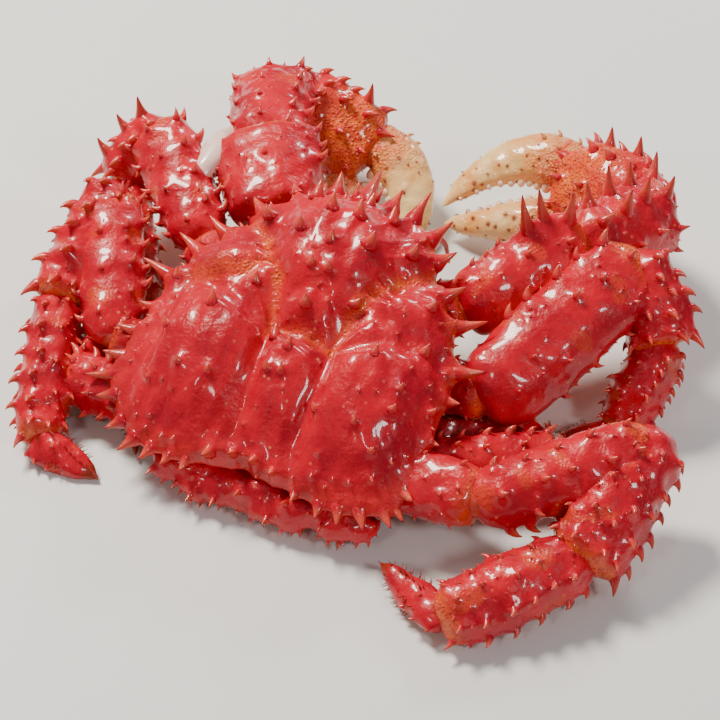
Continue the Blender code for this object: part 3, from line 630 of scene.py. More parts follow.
# %% The back, its rim of thorns and the spikes between the eyes
def make_back():
    """The back's skin, with the thorns whose tips are known, small ones scattered between
    them, the broad spike over the eyes and the three pairs of spines beside it."""
    grid = back_grid()
    tips = np.array(RIM_TIPS_RIGHT + RIM_TIPS_LEFT, float)
    tops = np.array(BACK_TIPS, float)
    rim_rows, rim_columns = nearest(grid, tips)
    top_rows, top_columns = nearest(grid, tops)
    reach = np.linalg.norm(tips - grid[rim_rows, rim_columns], axis=1)
    heights = np.interp(tops[:, 1], [-40, 25], [3.6, 6.6]) * rng.uniform(0.85, 1.15, len(tops))
    taken = list(grid[rim_rows, rim_columns]) + list(grid[top_rows, top_columns])
    on_top = np.zeros(grid.shape[:2], bool)
    on_top[8:BACK_ROWS] = True
    near_rim = np.zeros(grid.shape[:2], bool)
    near_rim[BACK_ROWS - 16 : BACK_ROWS + 2] = True
    count, gap = TOP_SMALL
    small_rows, small_columns = scattered(grid, count, taken, gap, on_top, 3)
    taken += list(grid[small_rows, small_columns])
    count, gap = RIM_SMALL
    edge_rows, edge_columns = scattered(grid, count, taken, gap, near_rim, 5)
    rows = np.concatenate([rim_rows, top_rows, small_rows, edge_rows])
    columns = np.concatenate([rim_columns, top_columns, small_columns, edge_columns])
    small = rng.uniform(0.9, 1.9, len(small_rows))
    edge = rng.uniform(1.2, 2.8, len(edge_rows))
    lengths = np.concatenate([np.maximum(1.12 * reach, 4.6), heights, small, edge])
    forward = np.tile([0, 0.9, 0.4], (len(rows), 1))
    forward[: len(tips)] = tips - grid[rim_rows, rim_columns]
    forward[-len(edge_rows) :] = grid[edge_rows, edge_columns] - [0, 0, 40]
    inside = np.linspace(0, 1, BACK_ROWS)
    share = np.concatenate([inside, np.linspace(1, 1.5, len(grid) - BACK_ROWS)])[:, None]
    y = grid[..., 1]
    grain = 0.5 * np.clip((share - 0.93) / 0.07, 0, 1) * np.clip((y + 20) / 40, 0.2, 1)
    side = np.abs(grid[..., 0] - MIDLINE_LEAN * (MIDLINE_START - y))
    for start, end, width, _ in GROOVES[:4]:
        grain = grain + 0.45 * near_line(side, y, start, end, 0.5 * width)
    # Orange grain in front of the left gill region: partly the shell's own ochre, partly a painted
    # highlight
    for start, end, width in OCHRE_AND_GLEAM:
        grain = grain + 0.4 * near_line(grid[..., 0], y, start, end, width)
    parts = thorned(
        grid, rows, columns, lengths, unit(forward), 1, BACK_WIDTH, BACK_RISE,
        grain=grain.clip(0, 1), pale=0.5 * (share > 1.2),
    )
    spike = thorns_part(
        np.array([(0, 48.5, 55.5), (0, 47.5, 51.5)], float),
        unit(np.array([(0, 1, 0.18), (0, 1, -0.05)], float)),
        unit(np.array([(0, 1, 0.32), (0, 1, -0.2)], float)),
        [17.0, 13.0],
        [5.0, 3.0],
        bend=0.3,
    )
    beside = thorns_part(
        both_sides([(3.4, 52, 57), (2.2, 48, 59), (6, 50.5, 55)]),
        unit(both_sides([(0.5, 1, 0.6), (0.3, 0.6, 1), (0.8, 1, 0.2)])),
        unit(np.tile([0, 1.0, 0.5], (6, 1))),
        [5.0, 5.0, 4.4, 4.4, 4.8, 4.8],
        1.5,
    )
    add_piece("back_shell", parts + [spike, beside], SHELL, ["carapace"])
    print("back:", grid.shape, "grid,", len(rows), "thorns and 8 spikes in front")


make_back()

# %% [markdown]
# ## Limbs
#
# A limb is a chain of segments. Each one is a swollen tube, narrow where it plugs into
# the one before and broad at its far end, where it forms a granular rim round the next
# joint. Its thorns stand in rows that lean towards the tip of the limb, largest along
# the edges, with small ones scattered between. A segment is a function of two
# parameters, the share of its length and the turn round its axis, so a row of thorns
# is simply a line of one turn.

# %% Numbers of the limbs
LEG_SEGMENTS = ["ischium", "merus", "carpus", "propodus", "dactylus"]
ARM_SEGMENTS = ["ischium", "merus", "carpus", "palm"]
# Root of each limb, then for each segment its length, its heading in degrees from the
# front towards the right, and how many degrees it rises
LEGS = {
    "leg_right_2": ((26, 10, 22), [
        (39, 95, 8), (71.5, 26.2, 15.2), (28, 132, -43), (33, -167, -43), (25, -123, -6),
    ]),
    "leg_right_3": ((26, -10, 16), [
        (29, 108, -2), (43, 63, -3), (24, -66, -9), (37, -112, -2), (23, -45, -8),
    ]),
    "leg_right_4": ((24, -29, 13), [
        (54, 94, 10), (58, 52, 8), (43, -167, -23), (49, -137, -8), (32, -62, -2),
    ]),
    "leg_left_2": ((-26, 10, 22), [
        (38, -53, 15), (53, -44, 11), (23, -139, -50), (57, 148, -15), (28, 86, -8),
    ]),
    "leg_left_3": ((-26, -10, 16), [
        (41.2, -98.5, 11), (55.5, -29, 14.6), (42, 179, -19), (53, 162, -21), (27, 99, -7),
    ]),
    "leg_left_4": ((-24, -29, 13), [
        (17, -104, 3), (36, -85, -3), (22, 0, -8), (27, 128, -10), (25, 150, -2),
    ]),
}
ARMS = {
    "claw_right": ((26, 30, 30), [(20, 75, 18), (48, 39.7, 10.4), (39, 25, -13), (46, -67, -15)]),
    "claw_left": ((-26, 30, 30), [(21, -24, 28), (38, -29, 6), (40, -21, -11), (45, 95, -25)]),
}
# Half width and half depth of each segment
GIRTHS = {
    "leg_right_2": [(10, 8), (15.5, 10.5), (11.5, 9.5), (9.5, 8.5), (5, 4.2)],
    "leg_right_3": [(7.5, 7), (9.5, 8), (8.5, 7.5), (7.5, 7), (4.5, 4)],
    "leg_right_4": [(11.5, 9.5), (11.5, 9.5), (12.5, 9.5), (11.5, 9.5), (6.5, 4.5)],
    "leg_left_2": [(9, 8), (11.5, 9.5), (10, 9), (8.5, 7.5), (5, 4.2)],
    "leg_left_3": [(9, 8), (11.5, 9.5), (10.5, 9), (9, 8.5), (7, 4.5)],
    "leg_left_4": [(7.5, 7), (8.5, 7.5), (7.5, 7), (7, 6.5), (4.2, 3.6)],
    "claw_right": [(10.5, 9), (13.5, 11), (13.5, 12), (17, 11)],
    "claw_left": [(9, 8), (18.5, 12), (15.5, 12.5), (16, 11)],
}
# How a segment swells: share of its length, and share of its half width and depth
PROFILES = {
    "ischium": [(-0.1, 0.7), (0.0, 0.8), (0.35, 1.0), (0.8, 0.95), (1.02, 0.85)],
    "merus": [(-0.06, 0.6), (0.05, 0.86), (0.4, 1.0), (0.88, 1.05), (1.05, 0.75)],
    "carpus": [(-0.2, 0.5), (0.0, 0.88), (0.5, 1.03), (0.9, 1.0), (1.06, 0.7)],
    "propodus": [(-0.08, 0.6), (0.12, 0.93), (0.55, 1.03), (0.9, 0.9), (1.03, 0.68)],
    "dactylus": [(-0.08, 0.7), (0.1, 0.98), (0.4, 0.92), (0.7, 0.62), (0.9, 0.27), (1.0, 0.06)],
    "palm": [(-0.12, 0.5), (0.05, 0.75), (0.4, 1.02), (0.8, 1.0), (1.0, 0.85)],
    "finger": [(-0.04, 0.8), (0.25, 1.0), (0.55, 0.82), (0.85, 0.47), (1.0, 0.1)],
}
BROAD_START = {"leg_right_2_merus": 0.3}
# A finger's base, bend and tip: along the palm from its end, across it, and out of its face
FINGERS = {
    "fixed_finger": [(-6, -13, 2), (10, -24, 8), (32, -33, 15)],
    "finger": [(-5, 6, 1), (26, 9, 8), (33, -28, 19)],
}
FINGER_GIRTHS = {"fixed_finger": (8.5, 6.5), "finger": (10.5, 7)}
# The broad faces of the limbs look this way, up and back, towards the camera
FACE_TOWARDS = np.array([0.28, -0.63, 0.72])
# Rows of thorns: turn round the segment, first and last share, how many, and length
SPINE_ROWS = {
    "ischium": [(150, 0.4, 0.9, 3, 3.4), (90, 0.45, 0.85, 2, 2.6), (20, 0.4, 0.9, 3, 2.4)],
    "merus": [
        (165, 0.12, 0.95, 6, 5.0), (125, 0.2, 0.95, 4, 3.8), (75, 0.12, 0.9, 4, 2.8),
        (20, 0.12, 0.92, 5, 4.2), (-15, 0.3, 0.9, 3, 4.0), (-160, 0.2, 0.9, 4, 3.4),
    ],
    "carpus": [
        (155, -0.02, 0.95, 5, 6.2), (115, -0.05, 0.9, 5, 6.0), (72, 0.0, 0.88, 4, 4.4),
        (25, 0.0, 0.9, 4, 4.2), (-15, 0.2, 0.85, 3, 4.0), (-155, 0.2, 0.9, 4, 4.0),
    ],
    "propodus": [
        (150, 0.05, 0.97, 6, 4.6), (108, 0.1, 0.92, 6, 4.4), (65, 0.05, 0.9, 5, 3.2),
        (22, 0.1, 0.9, 5, 3.6), (-20, 0.2, 0.85, 3, 3.6), (-165, 0.15, 0.85, 5, 3.8),
        (-90, 0.3, 0.85, 3, 2.4),
    ],
    "dactylus": [(140, 0.0, 0.36, 3, 2.4), (70, 0.0, 0.3, 2, 2.2)],
    "palm": [
        (15, 0.25, 0.98, 6, 8.2), (48, 0.1, 0.95, 5, 7.6), (85, 0.1, 0.9, 4, 5.0),
        (125, 0.1, 0.9, 5, 3.8), (165, 0.1, 0.85, 4, 4.6), (-20, 0.2, 0.9, 4, 4.0),
        (-90, 0.2, 0.9, 3, 2.4),
    ],
}
# Segments in plain sight that have rows of their own
OWN_SPINE_ROWS = {
    "claw_right_merus": [
        (150, 0.6, 0.77, 2, 15.5), (135, 0.93, 0.93, 1, 12.0), (165, 0.15, 0.42, 3, 4.8),
        (110, 0.55, 0.85, 2, 5.0), (20, 0.3, 0.9, 3, 4.0),
    ],
    "claw_right_carpus": [
        (155, 0.1, 0.92, 4, 11.5), (115, 0.05, 0.9, 4, 9.4), (-175, 0.2, 0.9, 3, 7.0),
        (70, 0.05, 0.9, 4, 5.6), (25, 0.1, 0.9, 4, 5.0), (-20, 0.2, 0.85, 3, 4.0),
        (-120, 0.2, 0.9, 3, 4.0),
    ],
    "claw_left_merus": [(160, 0.55, 0.9, 3, 6.0), (90, 0.5, 0.6, 1, 4.5), (15, 0.3, 0.9, 3, 3.6)],
    "leg_right_4_merus": [
        (10, 0.12, 0.95, 7, 6.2), (45, 0.3, 0.9, 4, 5.0), (95, 0.15, 0.92, 5, 4.6),
        (150, 0.1, 0.9, 5, 4.4), (-150, 0.2, 0.9, 3, 3.4),
    ],
    "leg_right_4_carpus": [
        (178, -0.05, 0.98, 8, 6.0), (140, 0.0, 0.92, 5, 4.8), (100, 0.05, 0.9, 5, 4.2),
        (60, 0.05, 0.9, 4, 3.8), (15, 0.05, 0.9, 5, 4.2), (-20, 0.2, 0.85, 3, 3.4),
    ],
    "leg_right_2_merus": [
        (162, 0.3, 0.92, 5, 6.4), (110, 0.6, 0.95, 3, 4.8), (60, 0.35, 0.8, 2, 2.6),
        (10, 0.3, 0.9, 4, 4.0),
    ],
}
# How much longer than in these rows the thorns are, by the first letters of the name: the
# left legs' thorns are the longest
ROW_GROWTH = {"leg_l": 1.3, "leg_r": 1.1}
# How far a thorn may stray from its row: share of the length, and degrees round the segment
STRAY = 0.03
STRAY_TURN = 7
# Thorns longer than this stand upright instead of leaning along the limb
LONG_THORN = 9.0
# How many small thorns are scattered between the rows, for each square centimetre
SCATTER = {"ischium": 0.8, "merus": 1.2, "carpus": 2.4, "propodus": 3.0, "dactylus": 0.0, "palm": 2.2}
SCATTER_GAP = 2.6
# Distance between the points of a limb's grid, and how much its rings wave
CELL = 0.62
WAVE = 0.035
# Powers that square off the rings of a limb and of the trunk
LIMB_SQUARE = 0.9
TRUNK_SQUARE = 0.75
BRISTLES = 90
BRISTLE_ROWS = 6
print(len(LEGS), "legs and", len(ARMS), "arms planned")


# %% A segment's skin
def along(length, heading, lift):
    """The step that goes that far with that heading and lift."""
    level = length * math.cos(math.radians(lift))
    turn = math.radians(heading)
    return np.array([level * math.sin(turn), level * math.cos(turn), length * math.sin(math.radians(lift))])


def frame_of(step):
    """Unit vectors along a segment, across its broad face and out of that face."""
    axis = step / np.linalg.norm(step)
    face = unit(FACE_TOWARDS - axis * (FACE_TOWARDS @ axis))
    return axis, np.cross(axis, face), face


def girth_along(shares, profile):
    """The profile's stations joined smoothly, and rounded off to nothing at both ends."""
    stations = np.array(profile)
    low, high = stations[0, 0], stations[-1, 0]
    fine = np.linspace(low, high, 301)
    kernel = np.hanning(45) / np.hanning(45).sum()
    sizes = np.interp(fine, stations[:, 0], stations[:, 1])
    sizes = np.convolve(np.pad(sizes, 22, mode="edge"), kernel, "valid")
    place = np.abs(2 * (shares - low) / (high - low) - 1)
    return np.interp(shares, fine, sizes) * np.sqrt(np.clip(1 - place**16, 0, 1))


def squared_off(values, power):
    """Sines or cosines of a circle, changed to those of a rounded square: value to a power,
    with its sign."""
    return np.sign(values) * np.abs(values) ** power


def segment_grid(start, step, girth, profile, broad):
    """centre(share) + width size(share) cos(turn) across + depth size(share) sin(turn) face,
    squared off a little and waved three times round, so that it isn't a plain tube."""
    axis, across, face = frame_of(step)
    length = np.linalg.norm(step)
    low, high = profile[0][0], profile[-1][0]
    rows = int((high - low) * length / CELL)
    sides = int(TURN * max(girth) / CELL)
    bend = np.linspace(0, math.pi, rows)
    shares = low + (high - low) * (0.35 * (1 - np.cos(bend)) / 2 + 0.65 * np.linspace(0, 1, rows))
    shares[0] += 1e-4
    shares[-1] -= 1e-4
    turns = np.linspace(0, TURN, sides, endpoint=False)
    size = (girth_along(shares, profile) * (1 + broad * (0.5 - shares)))[:, None]
    size = size * (1 + WAVE * np.cos(3 * turns + 4.0 * shares[:, None]))
    wide = girth[0] * size * squared_off(np.cos(turns), LIMB_SQUARE)
    deep = girth[1] * size * squared_off(np.sin(turns), LIMB_SQUARE)
    centre = start + step * shares[:, None]
    return centre[:, None] + wide[..., None] * across + deep[..., None] * face, shares, turns


def row_feet(name, segment, shares, turns, seed):
    """Grid rows and columns of a segment's thorns, and their lengths. The rows of the left
    limbs mirror those of the right ones."""
    local = np.random.default_rng(seed)
    rows, columns, lengths = [], [], []
    for turn, first, last, count, length in OWN_SPINE_ROWS.get(name, SPINE_ROWS[segment]):
        where = np.linspace(first, last, count) + local.uniform(-STRAY, STRAY, count)
        turn = 180 - turn if "left" in name else turn
        angle = np.radians(turn + local.uniform(-STRAY_TURN, STRAY_TURN, count)) % TURN
        rows += list(np.abs(shares[None] - where[:, None]).argmin(1))
        columns += list(np.rint(angle / TURN * len(turns)).astype(int) % len(turns))
        lengths += list(ROW_GROWTH.get(name[:5], 1.0) * length * local.uniform(0.85, 1.15, count))
    return np.array(rows), np.array(columns), np.array(lengths)


def make_segment(name, segment, start, step, girth, seed):
    """The parts of one segment: a skin with its rows of thorns and the small thorns between
    them, and bristles if it is a toe. Its far rim and its underside are granular."""
    broad = BROAD_START.get(name, 0.0)
    grid, shares, turns = segment_grid(start, step, girth, PROFILES[segment], broad)
    rows, columns, lengths = row_feet(name, segment, shares, turns, seed)
    area = np.linalg.norm(step) * math.pi * (girth[0] + girth[1]) / 100
    allowed = np.zeros(grid.shape[:2], bool)
    allowed[(shares > 0.05) & (shares < 0.98)] = True
    count = int(SCATTER[segment] * area)
    if count:
        extra = scattered(grid, count, list(grid[rows, columns]), SCATTER_GAP, allowed, seed)
        small = np.random.default_rng(seed).uniform(0.8, 2.1, len(extra[0]))
        rows = np.concatenate([rows, extra[0]])
        columns = np.concatenate([columns, extra[1]])
        lengths = np.concatenate([lengths, small])
    axis, _, _ = frame_of(step)
    leans = np.where(lengths[:, None] > LONG_THORN, [-0.1, 0.1, 1.0], axis)
    facing_down = np.clip(-normals_of(grid)[..., 2] - 0.35, 0, 1)
    rim = np.exp(-(((shares - 0.99) / 0.06) ** 2))[:, None]
    rim = (0.5 if segment == "ischium" else 0.8) * rim
    patches = 0.25 * (ripples(grid, 14, 1.0, seed) > 0.9)
    grain = np.clip(rim + 0.9 * facing_down + patches, 0, 1)
    if segment == "palm":
        facing = np.cos(turns - math.radians(70 if "right" in name else 110)).clip(0, 1)
        grain = np.clip(grain + 1.1 * facing * np.exp(-(((shares - 0.75) / 0.3) ** 2))[:, None], 0, 1)
    toe = segment == "dactylus"
    dark = np.clip((shares - 0.74) / 0.1, 0, 1)[:, None] if toe else 0.0
    pale = 0.5 * facing_down
    parts = thorned(grid, rows, columns, lengths, leans, seed, grain=grain, dark=dark, pale=pale)
    if toe:
        parts.append(bristles(grid, shares, turns, seed, axis))
    return parts, len(rows)


def bristles(grid, shares, turns, seed, axis):
    """Rows of short dark bristles on a toe: thin thorns that lean to its tip."""
    local = np.random.default_rng(seed)
    sides = len(turns)
    rows = np.abs(shares[None] - local.uniform(0.25, 0.82, BRISTLES)[:, None]).argmin(1)
    lines = local.integers(0, BRISTLE_ROWS, BRISTLES) * sides // BRISTLE_ROWS
    columns = (lines + local.integers(-1, 2, BRISTLES)) % sides
    kept = grid[rows, columns][:, 2] > 1.5 + FLOOR_ROOM
    rows, columns = rows[kept], columns[kept]
    outs = normals_of(grid)[rows, columns]
    leans = np.tile(axis, (len(rows), 1))
    lengths = local.uniform(1.8, 3.4, len(rows))
    return thorns_part(grid[rows, columns], outs, leans, lengths, 0.2, dark=1.0)


# %% Legs and arms
# A joint's sac of soft skin, as a share of the thinner segment's half depth
SAC_SHARE = 0.62
joints = []
thorn_count = 0


def make_limb(name, root, moves, segments, seed):
    """One piece for each segment, and the place and size of each joint for its soft skin.
    Returns the limb's end and its last step."""
    global thorn_count
    start = np.array(root, float)
    for i, (segment, move, girth) in enumerate(zip(segments, moves, GIRTHS[name])):
        step = along(*move)
        full = f"{name}_{segment}"
        parts, count = make_segment(full, segment, start, step, girth, seed + i)
        add_piece(full + "_skin", parts, SHELL, [full])
        thorn_count += count
        if i:
            joints.append((start, min(girth[1], GIRTHS[name][i - 1][1]) * SAC_SHARE))
        start = start + step
    return start, step


for number, (name, (root, moves)) in enumerate(LEGS.items()):
    make_limb(name, root, moves, LEG_SEGMENTS, 100 + 10 * number)
arm_ends = {}
for number, (name, (root, moves)) in enumerate(ARMS.items()):
    arm_ends[name] = make_limb(name, root, moves, ARM_SEGMENTS, 200 + 10 * number)
print(thorn_count, "thorns on the limbs,", total_triangles, "triangles so far")

# %% [markdown]
# ## Fingers
#
# The pincer's two fingers are ivory, flushed red at the base, and dotted with small
# red-brown tufts. Rounded white teeth line the edges that meet. Each finger follows a
# curve that leaves the palm towards one point and comes to its tip from there.

# %% Fingers with teeth and tufts
FINGER_ROWS = 120
FINGER_SIDES = 84
# Spots, the bristles of each spot's tuft, teeth, and the small thorns by the moving finger's hinge
SPOTS = 44
TUFT_BRISTLES = 4
TEETH = 9
KNOBS = 9


def finger_grid(start, bend, tip, girth, face):
    """Rings round the curve start (1-t)(1-t) + 2 bend t (1-t) + tip t t."""
    shares = np.linspace(-0.04, 1.0, FINGER_ROWS)
    t = shares[:, None]
    middle = start * (1 - t) ** 2 + bend * (2 * t * (1 - t)) + tip * t**2
    axis = unit((bend - start) * (1 - t) + (tip - bend) * t)
    across = unit(np.cross(axis, face))
    out = np.cross(across, axis)
    turns = np.linspace(0, TURN, FINGER_SIDES, endpoint=False)
    shares[0] += 1e-4
    shares[-1] -= 1e-4
    size = girth_along(shares, PROFILES["finger"])[:, None]
    grid = middle[:, None] + (girth[0] * size * np.cos(turns))[..., None] * across[:, None]
    return grid + (girth[1] * size * np.sin(turns))[..., None] * out[:, None], shares, axis


def make_finger(name, part, end, step, seed):
    """A finger with teeth on its inner edge, spots with tufts of bristles, and knobs."""
    axis, across, face = frame_of(step)
    flip = -1 if "left" in name else 1
    points = [end + axis * a + flip * across * b + face * c for a, b, c in FINGERS[part]]
    grid, shares, paths = finger_grid(*points, FINGER_GIRTHS[part], face)
    normals = normals_of(grid)
    local = np.random.default_rng(seed)
    grid = grid + normals * ripples(grid, 6.0, 0.18, seed)[..., None]
    grid[..., 2] = np.maximum(grid[..., 2], 0.0)
    inner = FINGER_SIDES // 2 if (part == "finger") == (flip > 0) else 0

    def between(low, high):
        """Marks the points of the grid between two shares of the finger's length."""
        return np.broadcast_to(((shares > low) & (shares < high))[:, None], grid.shape[:2])

    spots = scattered(grid, SPOTS, [], 2.6, between(0.12, 0.93), seed)
    flat = grid.reshape(-1, 3)
    dark = np.zeros(len(flat))
    for place, radius in zip(grid[spots], local.uniform(0.45, 1.25, len(spots[0]))):
        dark = np.maximum(dark, np.exp(-(np.sum((flat - place) ** 2, axis=1) / radius**2) ** 2))
    dark = 0.8 * dark.reshape(grid.shape[:2])
    red = np.clip(1.25 - (shares[:, None] + 0.05 * ripples(grid, 9.0, 1.0, seed)) / 0.36, 0, 1)
    parts = [grid_part(grid, grain=red, dark=dark)]
    rows = np.linspace(26, 108, TEETH).astype(int)
    rows = rows[grid[rows, inner][:, 2] > 2 * FLOOR_ROOM]
    teeth = np.full(len(rows), inner)
    outs = normals[rows, teeth]
    lengths = np.linspace(2.4, 1.2, len(rows)) * local.uniform(0.9, 1.1, len(rows))
    parts.append(thorns_part(grid[rows, teeth], outs, outs, lengths, lengths * 0.72, BLUNT, pale=1.0))
    parts[-1]["values"]["tip"][:] = 0.0
    rows, columns = (np.repeat(found, TUFT_BRISTLES) for found in spots)
    feet = grid[rows, columns] + local.normal(0, 0.22, (len(rows), 3))
    above = feet[:, 2] > 2 * FLOOR_ROOM
    rows, columns, feet = rows[above], columns[above], feet[above]
    lengths = local.uniform(0.7, 1.5, len(feet))
    outs = normals[rows, columns]
    parts.append(thorns_part(feet, outs, paths[rows], lengths, 0.13, bend=0.6, dark=1.0))
    if part == "finger":
        knobs = scattered(grid, KNOBS, [], 3.6, between(-1.0, 0.3), seed + 5)
        lengths = local.uniform(2.0, 4.2, len(knobs[0]))
        parts.append(thorns_part(grid[knobs], normals[knobs], paths[knobs[0]], lengths, 1.1, grain=0.6))
    add_piece(f"{name}_{part}_ivory", parts, FINGER, [f"{name}_{part}"])


for seed, (name, (end, step)) in enumerate(arm_ends.items()):
    for part in FINGERS:
        make_finger(name, part, end, step, 300 + seed)
print("4 fingers made,", total_triangles, "triangles so far")

# %% [markdown]
# ## Trunk, tail and joints
#
# Under the back is the trunk that the limbs spring from, with a middle seam and cheeks in
# front. The tail is a broad convex band behind it. Its end is folded under as a creased
# flap that the crab rests on, which has a skin of its own. Soft red skin, a round sac in
# each joint, shows between the segments, and a pale pad of membrane shows between the
# left arm and the leg beside it, pale partly in its own colour and partly as a painted highlight.

# %% Trunk and tail
TRUNK_TOP = (31, 40)
TRUNK_BASE = (22, 30)
# In front, the seam forks at this share of the trunk's height
SEAM_FORK = 0.55
SEAM_DEPTH = 1.5
CHEEK_HEIGHT = 1.6
TRUNK_THORNS = 90
BAND_MIDDLE = (6, -50, 12.4)
BAND_HALF_WIDTH = 43
# Section of the tail's band: height over its middle, and distance in front of it
BAND_SECTION = [(3, 0), (0, -3.5), (-5.5, -5.5), (-10, -3), (-12, 3), (-5, 9), (2, 8)]
# The tail's underside is flat at this height
TAIL_LOWEST = 0.45
TAIL_TIPS = [
    (-34, -57, 9), (-24, -62.6, 9), (-16, -60.5, 8), (-7, -60, 8), (0, -56, 14), (12, -56.5, 8),
    (18, -52, 12), (24, -56, 4), (32, -51, 10), (37, -54, 4), (45, -50, 7),
]
TAIL_BUMPS = 60
FLAP_MIDDLE_Y = -18
FLAP_HEIGHT = 9
# Half width of the flap at the floor, and what it gains and loses on the way up
FLAP_HALF = 19
FLAP_GAIN = 14
FLAP_LOSS = 16
FLAP_LONGER = 5
FLAP_CREASES = (-15, -5, 5, 14)
# Short teeth on the tail's lower edge, as they lie along it
TAIL_TEETH = 15


def make_trunk():
    """Rounded oblong rings from the breast plate up to the shell, pinched between the legs.
    In front, two cheeks swell beside a seam that forks as it rises."""
    turns = np.linspace(0, TURN, 400, endpoint=False)
    levels = np.linspace(0, 1, 80)[:, None]
    swell = np.sin(np.clip(levels * 1.25, 0, 1) * math.pi / 2)
    half_x = TRUNK_BASE[0] + (TRUNK_TOP[0] - TRUNK_BASE[0]) * swell
    half_y = TRUNK_BASE[1] + (TRUNK_TOP[1] - TRUNK_BASE[1]) * swell
    s = squared_off(np.sin(turns), TRUNK_SQUARE)
    x = half_x * s
    y = half_y * squared_off(np.cos(turns), TRUNK_SQUARE) + 3 - 2 * levels
    pinch = 1 - 0.035 * (0.5 + 0.5 * np.cos(TURN * (y + 4) / 19.0)) * np.abs(s)
    top = RIM_MIDDLE_Z + RIM_RISE * y - 4.34
    base = 13.0 + 0.2 * y
    cheeks = np.exp(-(((np.abs(x) - 17) / 5) ** 2)) - 1.2 * np.exp(-((x / 6) ** 2))
    front = np.clip((y - 20) / 15, 0, 1)
    higher = levels - SEAM_FORK
    middle = np.exp(-(x**2)) * np.clip(-higher / 0.06, 0, 1)
    sloping = np.exp(-(((np.abs(x) - 45 * higher) / 1.3) ** 2)) * np.clip(higher / 0.06, 0, 1)
    beside = np.exp(-(((np.abs(x) - 15 + 3 * levels) / 1.2) ** 2))
    swollen = CHEEK_HEIGHT * cheeks * front * np.sin(math.pi * levels)
    y = y + swollen - SEAM_DEPTH * np.maximum(middle + sloping, beside) * front
    grid = np.stack([x * pinch, y, base + (top - base) * levels], -1)
    on_side = np.broadcast_to((levels > 0.35) & (levels < 0.92), grid.shape[:2])
    rows, columns = scattered(grid, TRUNK_THORNS, [], 3.6, on_side, 44)
    lengths = np.random.default_rng(44).uniform(0.6, 1.8, len(rows))
    leans = np.tile([0, 0.3, 0.6], (len(rows), 1))
    parts = thorned(grid, rows, columns, lengths, leans, 45, grain=0.4, pale=0.3 * (1 - levels))
    add_piece("trunk_skin", parts, UNDER, ["trunk"])


def make_tail():
    """The band's section swept across the rear and shrunk to its ends, grooved between its
    plates, with thorns and a row of teeth on its lower edge."""
    section = np.array(BAND_SECTION, float)
    closed = np.concatenate([section, section[:1]])
    around = np.linspace(0, len(section), 91)[:-1]
    lift = np.interp(around, np.arange(len(closed)), closed[:, 0])
    out = np.interp(around, np.arange(len(closed)), closed[:, 1])
    kernel = np.hanning(15) / np.hanning(15).sum()
    lift, out = (np.convolve(np.pad(v, 7, mode="wrap"), kernel, "valid") for v in (lift, out))
    turn = np.sin(np.linspace(-1, 1, 190) * math.pi / 2)[:, None]
    size = 0.3 + 0.7 * np.sqrt(1 - (turn * 0.95) ** 2)
    size = size * np.sqrt(np.clip(1 - np.abs(turn) ** 12, 1e-4, 1))
    plates = 1 - 0.05 * np.exp(-((np.abs(np.abs(turn) - 0.42) / 0.025) ** 2))
    mid_x, mid_y, mid_z = BAND_MIDDLE
    x = mid_x + BAND_HALF_WIDTH * turn + 0 * out
    y = mid_y + 4 + (out * 1.04 - 5) * size * plates
    z = np.maximum(mid_z + lift * 1.02 * size, TAIL_LOWEST)
    grid = np.stack([x, y, z], -1)
    grid = grid + normals_of(grid) * ripples(grid, 15.0, 0.9, 42)[..., None]
    grid[..., 2] = np.maximum(grid[..., 2], TAIL_LOWEST)
    tips = np.array(TAIL_TIPS, float)
    teeth = np.stack(np.broadcast_arrays(np.linspace(-34, 46, TAIL_TEETH), -60.0, 3.2), 1)
    rows, columns = nearest(grid, np.concatenate([tips, teeth]))
    lengths = np.concatenate([rng.uniform(3.4, 4.6, len(tips)), rng.uniform(1.8, 3.0, TAIL_TEETH)])
    bumps = scattered(grid, TAIL_BUMPS, list(grid[rows, columns]), 3.2, z > 4.0, 43)
    rows, columns = np.concatenate([rows, bumps[0]]), np.concatenate([columns, bumps[1]])
    lengths = np.concatenate([lengths, rng.uniform(0.8, 2.0, len(bumps[0]))])
    leans = np.tile([0, -1.0, 0.1], (len(rows), 1))
    grain = 0.6 * np.exp(-(((z - 2.5) / 3.0) ** 2))
    parts = thorned(grid, rows, columns, lengths, leans, 41, grain=grain)
    add_piece("tail_skin", parts, SHELL, ["tail_base"])


def make_flap():
    """Oval rings, half width half + gain t - loss t t at the share t of the height, a little
    longer than wide, and creased between the plates of the tail."""
    turns = np.linspace(0, TURN, 150, endpoint=False)
    level = np.linspace(0, 1, 34)[:, None]
    half = FLAP_HALF + FLAP_GAIN * level - FLAP_LOSS * level**2
    y = (half + FLAP_LONGER) * np.cos(turns)
    crease = sum(np.exp(-(((y - place) / 0.8) ** 2)) for place in FLAP_CREASES)
    x = half * np.sin(turns) * (1 - 0.05 * crease)
    z = FLAP_HEIGHT * level + 0.12 * level * y
    grid = np.stack([x, y + FLAP_MIDDLE_Y, z], -1)
    parts = [grid_part(grid, grain=0.4, pale=0.5 * (1 - level))]
    add_piece("tail_flap_skin", parts, UNDER, ["tail_flap"])


make_trunk()
make_tail()
make_flap()
print("trunk and tail made,", total_triangles, "triangles so far")


# %% Soft skin in the joints and the pale membrane
# The sacs' lowest level, and the place, radius and proportions of the membrane's pad
SAC_LOWEST = 0.3
MEMBRANE_PLACE = (-66, 66, 42.5)
MEMBRANE_RADIUS = 6.5
MEMBRANE_STRETCH = (0.95, 2.4, 0.9)


def ball(centre, radius, rows=18, sides=28, stretch=(1, 1, 1)):
    """centre + radius (sin a cos b, sin a sin b, cos a), stretched."""
    a = np.linspace(0.02, math.pi - 0.02, rows)[:, None]
    b = np.linspace(0, TURN, sides, endpoint=False)
    shape = np.stack([np.sin(a) * np.cos(b), np.sin(a) * np.sin(b), np.cos(a) + 0 * b], -1)
    return np.asarray(centre) + radius * np.asarray(stretch) * shape


